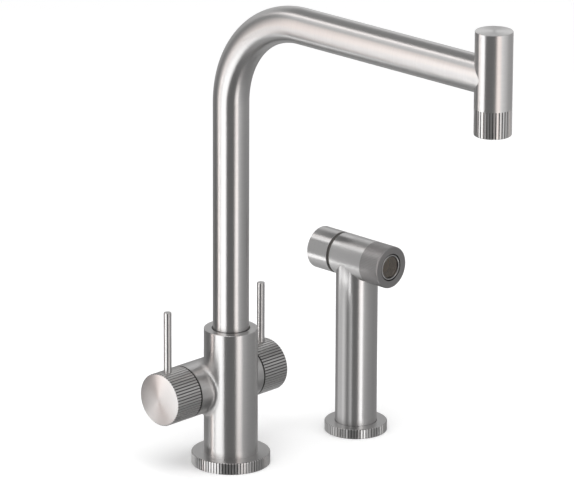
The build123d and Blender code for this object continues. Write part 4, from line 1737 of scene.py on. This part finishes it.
@dataclass
class Studio:
    """Pale floor, white surroundings, soft lamps, reflectors round the object, and the camera, in metres.

    The camera's angles are in degrees, and its lens and sensor in millimetres. floor_lift and sky are
    brightnesses, where 1 is white.
    """

    aim: tuple[float, float, float] = (0.0687, 0.0064, 0.1640)
    azimuth: float = -45.982
    elevation: float = 18.172
    roll: float = 0.238
    distance: float = 4.3277
    focal_length: float = 347.95
    sensor_width: float = 36.0
    clip: tuple[float, float] = (0.1, 50.0)
    # lower and upper edges of the upright cards
    foot: tuple[float, float] = (-0.25, 0.06)
    waist: tuple[float, float] = (0.06, 0.30)
    left_top: tuple[float, float] = (0.30, 0.60)
    fill: tuple[float, float] = (0.30, 0.80)
    back_left_high: tuple[float, float] = (0.06, 0.90)
    back_low: tuple[float, float] = (-0.25, 0.14)
    back_middle: tuple[float, float] = (0.14, 0.45)
    back_high: tuple[float, float] = (0.45, 0.85)
    front_low: tuple[float, float] = (-0.25, 0.12)
    front_high: tuple[float, float] = (0.12, 1.10)
    strip_foot: tuple[float, float] = (-0.25, -0.15)
    strip_low: tuple[float, float] = (-0.15, 0.15)
    strip_high: tuple[float, float] = (0.15, 1.10)
    flag_low: tuple[float, float] = (-0.25, 0.18)
    flag_high: tuple[float, float] = (0.18, 1.10)
    # the small cards by the hand spray: the plane of those beside it, and the place of those over its head
    spray_plane_x: float = 0.080
    spray_lid_x: float = 0.106
    spray_lid_w: float = 0.046
    spray_lid_z: float = 0.216
    spray_handle: tuple[float, float] = (-0.05, 0.108)
    floor_reach: float = 12.0
    floor_drop: float = 0.0002
    floor_lift: float = 0.16
    sky: float = 0.75

    def ring_cards(self) -> list[Card]:
        """Stand the upright cards round the object, clockwise from the left.

        Returns:
            The cards.
        """

        def upright(
            name: str,
            start: Post,
            end: Post,
            heights: tuple[float, float],
            glow: float,
            far_glow: float | None = None,
            tint: str = "#FFFFFF",
        ) -> Card:
            """Stand a card between two posts."""
            return Card.upright(name, start.value, end.value, heights, glow, far_glow, tint)

        return [
            upright("left_softbox_low", Post.LEFT_FRONT, Post.SOFTBOX_END, self.foot, 2.1),
            upright("left_gap_low", Post.SOFTBOX_END, Post.GAP_END, self.foot, 0.2),
            upright("left_edge_low", Post.GAP_END, Post.EDGE_END, self.foot, 3.8),
            upright("left_softbox", Post.LEFT_FRONT, Post.SOFTBOX_END, self.waist, 1.85),
            upright("left_gap", Post.SOFTBOX_END, Post.GAP_END, self.waist, 0.0),
            upright("left_edge", Post.GAP_END, Post.EDGE_END, self.waist, 3.8),
            upright("left_softbox_top", Post.LEFT_FRONT, Post.SOFTBOX_TOP_END, self.left_top, 2.05),
            upright("left_end_low", Post.WARM_START, Post.WARM_LOW_END, self.foot, 2.5, 2.0, "#FFF0EA"),
            upright("left_end", Post.WARM_START, Post.WARM_END, self.waist, 1.8, 1.5, "#FFF2EC"),
            upright("left_warm_fill", Post.SOFTBOX_TOP_END, Post.FILL_END, self.fill, 1.9, 1.4, "#FFF2EC"),
            upright("back_left_fade_low", Post.FADE_LOW, Post.BACK_LEFT, self.foot, 0.07, 0.07, "#F2F6FF"),
            upright("back_left_fade", Post.FADE, Post.BACK_LEFT, self.back_left_high, 0.75, 0.50),
            upright("back_left_flag_low", Post.BACK_LEFT, Post.BACK, self.foot, 0.10, 0.22),
            upright("back_left_flag", Post.BACK_LEFT, Post.BACK, self.back_left_high, 0.24, 0.30),
            upright("back_low", Post.BACK, Post.BACK_RIGHT, self.back_low, 0.28, 0.30),
            upright("back_middle", Post.BACK, Post.BACK_RIGHT, self.back_middle, 0.45, 0.50),
            upright("back_high", Post.BACK, Post.BACK_RIGHT, self.back_high, 0.55, 0.85),
            upright("right_back_low", Post.BACK_RIGHT, Post.RIGHT_BACK, self.back_low, 0.30, 0.32),
            upright("right_back_middle", Post.BACK_RIGHT, Post.RIGHT_BACK, self.back_middle, 0.50, 0.45),
            upright("right_back_high", Post.BACK_RIGHT, Post.RIGHT_BACK, self.back_high, 1.00, 0.85),
            upright("right_low", Post.RIGHT_BACK, Post.RIGHT_FRONT, self.front_low, 0.34, 0.33),
            upright("right_high", Post.RIGHT_BACK, Post.RIGHT_FRONT, self.front_high, 0.52, 0.50),
            upright("right_front_low", Post.RIGHT_FRONT, Post.FRONT_RIGHT, self.front_low, 0.33, 0.42),
            upright("right_front_high", Post.RIGHT_FRONT, Post.FRONT_RIGHT, self.front_high, 0.46, 0.54),
            upright("front_right_low", Post.FRONT_RIGHT, Post.FRONT, self.front_low, 0.42, 0.62),
            upright("front_right_high", Post.FRONT_RIGHT, Post.FRONT, self.front_high, 0.56, 0.95),
            upright("strip_fall_low", Post.FRONT, Post.STRIP_START, self.front_low, 0.62, 1.05),
            upright("strip_fall_high", Post.FRONT, Post.STRIP_START, self.front_high, 0.95, 1.25),
            upright("strip_foot", Post.STRIP_START, Post.STRIP_END, self.strip_foot, 1.2, 0.9, "#FFFAF8"),
            upright("strip_low", Post.STRIP_START, Post.STRIP_END, self.strip_low, 2.6, 1.4, "#FFFAF8"),
            upright("strip_high", Post.STRIP_START, Post.STRIP_TURN, self.strip_high, 1.4, 1.6, "#FFF4EF"),
            upright("strip_high_fade", Post.STRIP_TURN, Post.STRIP_DIM, self.strip_high, 1.6, 0.6, "#FFF4EF"),
            upright("front_flag_high", Post.STRIP_DIM, Post.STRIP_END, self.strip_high, 0.215),
            upright("front_flag", Post.STRIP_END, Post.LEFT_FRONT, self.flag_low, 0.18),
            upright("front_flag_top", Post.STRIP_END, Post.LEFT_FRONT, self.flag_high, 0.215),
        ]

    def level_cards(self) -> list[Card]:
        """Lay the cards under and over the object.

        Returns:
            The cards.
        """
        return [
            Card("under_front", (-0.75, -0.85, -0.25), (1.60, 0, 0), (0, 0.85, 0), 0.22, 0.30),
            Card("under_back", (-0.75, 0.00, -0.25), (1.60, 0, 0), (0, 0.90, 0), 0.50, 0.50),
            Card("low_glow", (-0.34, 0.38, -0.24), (0.20, 0, 0), (0, 0.16, 0), 1.9, 1.9),
            Card("overhead_flag", (-0.11, -0.85, 1.05), (0.95, 0, 0), (0, 1.75, 0), 0.28, 0.30),
            Card("overhead_strip", (-0.22, -0.10, 0.98), (0.12, 0, 0), (0, 1.10, 0), 2.3, 2.3, "#FFF9F7"),
        ]

    def spray_cards(self) -> list[Card]:
        """Set the small cards close by the hand spray, for its handle and its head.

        Returns:
            The cards.
        """

        def beside(
            name: str,
            start_y: float,
            end_y: float,
            heights: tuple[float, float],
            glow: float,
            far_glow: float | None = None,
        ) -> Card:
            """Stand a card in the plane beside the spray."""
            start, end = (self.spray_plane_x, start_y), (self.spray_plane_x, end_y)
            return Card.upright(name, start, end, heights, glow, far_glow, one_sided=True)

        def over(name: str, start_y: float, length: float, glow: float) -> Card:
            """Lay a card over the spray's head."""
            corner = (self.spray_lid_x, start_y, self.spray_lid_z)
            return Card(name, corner, (0, length, 0), (self.spray_lid_w, 0, 0), glow, glow, one_sided=True)

        return [
            beside("handle_dip", -0.036, -0.020, self.spray_handle, 0.90, 0.16),
            beside("handle_rise", -0.020, -0.002, self.spray_handle, 0.16, 1.1),
            beside("handle_fall", -0.002, 0.006, self.spray_handle, 1.1, 0.70),
            beside("handle_edge", 0.006, 0.110, self.spray_handle, 0.70, 0.80),
            beside("head_under", -0.020, 0.026, (0.108, 0.1155), 0.45),
            beside("head_low", -0.020, 0.026, (0.1165, 0.1240), 2.3),
            beside("cap_low", 0.026, 0.065, (0.1045, 0.127), 2.0),
            beside("head_middle", -0.035, 0.080, (0.127, 0.185), 0.52),
            beside("head_high", -0.020, 0.115, (0.196, 0.240), 1.6),
            over("collar_grey", -0.015, 0.037, 0.40),
            over("head_dark", 0.022, 0.0365, 0.10),
            over("cap_grey", 0.0585, 0.0265, 0.45),
            Card.upright(
                "handle_band", (0.0894, -0.1396), (0.0841, -0.0853), (-0.09, 0.09), 2.5, 1.7, one_sided=True
            ),
        ]

    def floor(self) -> None:
        """Lay the pale floor, which keeps the object's shadow and meets the white surroundings."""
        ground = Blank()
        bmesh.ops.create_grid(ground.mesh, x_segments=1, y_segments=1, size=self.floor_reach)
        held = ground.as_object("floor")
        held.location.z = -self.floor_drop
        held.visible_glossy = False
        material = bpy.data.materials.new("pale_floor")
        material.use_nodes = True
        tree = material.node_tree
        shader = tree.nodes["Principled BSDF"]
        shader.inputs["Base Color"].default_value = linear("#F7F7F7")
        shader.inputs["Roughness"].default_value = 0.9
        shader.inputs["Specular IOR Level"].default_value = 0.0
        shader.inputs["Emission Color"].default_value = linear("#FFFFFF")
        ray = add_node(tree, "ShaderNodeLightPath")
        lift = add_node(
            tree,
            "ShaderNodeMath",
            {"operation": "MULTIPLY"},
            {0: ray.outputs["Is Camera Ray"], 1: self.floor_lift},
        )
        tree.links.new(lift.outputs[0], shader.inputs["Emission Strength"])
        held.data.materials.append(material)

    def surroundings(self) -> None:
        """White all round for the camera and in reflections, and a soft sky for everything else."""
        world = bpy.data.worlds.new("studio")
        bpy.context.scene.world = world
        world.use_nodes = True
        tree = world.node_tree
        tree.nodes.clear()
        ray = add_node(tree, "ShaderNodeLightPath")
        seen = add_node(
            tree,
            "ShaderNodeMath",
            {"operation": "MAXIMUM"},
            {0: ray.outputs["Is Camera Ray"], 1: ray.outputs["Is Glossy Ray"]},
        )
        seen = add_node(
            tree,
            "ShaderNodeMath",
            {"operation": "MAXIMUM"},
            {0: seen.outputs[0], 1: ray.outputs["Is Transmission Ray"]},
        )
        sky, white = (
            add_node(tree, "ShaderNodeBackground", inputs={"Color": linear("#FFFFFF"), "Strength": strength})
            for strength in (self.sky, 1.0)
        )
        mix = add_node(
            tree, "ShaderNodeMixShader", inputs={0: seen.outputs[0], 1: sky.outputs[0], 2: white.outputs[0]}
        )
        add_node(tree, "ShaderNodeOutputWorld", inputs={"Surface": mix.outputs[0]})

    def lamp(self, name: str, spot: Vector, size: float, watts: float) -> None:
        """Hang a soft square lamp that looks at the object.

        Args:
            name: The lamp's name.
            spot: Where it hangs, in metres.
            size: The side of its square, in metres.
            watts: Its power.
        """
        light = bpy.data.lights.new(name, "AREA")
        light.shape, light.size, light.energy = "SQUARE", size, watts
        held = bpy.data.objects.new(name, light)
        bpy.context.scene.collection.objects.link(held)
        held.location = spot
        held.rotation_mode = "QUATERNION"
        held.rotation_quaternion = (Vector(self.aim) - spot).to_track_quat("-Z", "Y")
        held.visible_camera = held.visible_glossy = False

    def camera(self) -> None:
        """Set up the camera at the photograph's angle."""
        turn, rise = math.radians(self.azimuth), math.radians(self.elevation)
        level = math.cos(rise)
        back = Vector((math.sin(turn) * level, -math.cos(turn) * level, math.sin(rise)))
        lens = bpy.data.cameras.new("camera")
        lens.lens, lens.sensor_width = self.focal_length, self.sensor_width
        lens.sensor_fit = "HORIZONTAL"
        lens.clip_start, lens.clip_end = self.clip
        held = bpy.data.objects.new("camera", lens)
        bpy.context.scene.collection.objects.link(held)
        held.location = Vector(self.aim) + back * self.distance
        held.rotation_mode = "QUATERNION"
        straight = back.to_track_quat("Z", "Y")
        held.rotation_quaternion = straight @ Quaternion((0, 0, 1), math.radians(self.roll))
        bpy.context.scene.camera = held

    def build(self) -> None:
        """Set up the whole studio."""
        self.camera()
        self.floor()
        self.surroundings()
        for card in self.ring_cards() + self.level_cards() + self.spray_cards():
            card.hang()
        self.lamp("overhead_softbox", Vector((-0.5, -0.3, 1.9)), size=1.4, watts=14.0)
        self.lamp("front_softbox", Vector((0.9, -1.5, 1.2)), size=1.0, watts=6.0)
        bpy.context.scene.view_settings.view_transform = "Standard"


# ---------------------------------------------------------------- assembly


def dress_inner_nodes(frame: dict[str, Any]) -> None:
    """Give every CAD node that stays its material by the record's slot.
    """
    made: dict[str, bpy.types.Material] = {}
    for part in frame["record"]["subparts"]:
        node = frame["nodes"][part["node"]]
        finish = BY_SLOT.get(part["material_slot"], BARE_STEEL)
        if finish.slot not in made:
            made[finish.slot] = finish.material()
        node.data.materials.clear()
        node.data.materials.append(made[finish.slot])


def main() -> None:
    """Build the faucet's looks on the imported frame."""
    logging.basicConfig(level=logging.INFO, format="%(name)s: %(message)s")
    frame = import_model()
    dress_inner_nodes(frame)
    Studio().build()
    body = FaucetBody()
    DeckRing(
        name="deck_ring",
        node="base_flange",
        x=0.0,
        y=0.0,
        radius=30.8,
        height=9.2,
        bore=body.block_r,
        seat_r=body.column_r,
        seat_z=body.foot,
        groove_in=24.0,
        groove_out=28.0,
        groove_depth=2.0,
    ).build()
    body.build()
    Spout().build()
    for side in Side:
        Handle(side).build()
    spray = HandSpray()
    DeckRing(
        name="spray_deck_ring",
        node="spray_flange",
        x=spray.x,
        y=spray.y,
        radius=24.8,
        height=7.75,
        bore=17.8,
        seat_r=16.8,
        seat_z=6.3,
        groove_in=22.6,
        groove_out=24.0,
        groove_depth=1.2,
    ).build()
    spray.build()
    CoilSpring(
        name="diverter_spring",
        frame=Matrix.Identity(4),
        radius=5.2,
        wire_r=0.5,
        turns=4,
        moving=Body.DIVERTER,
        moving_seat=70.0,
        fixed=Body.ROOT,
        fixed_seat=80.0,
    ).build()


if __name__ == "__main__":
    main()
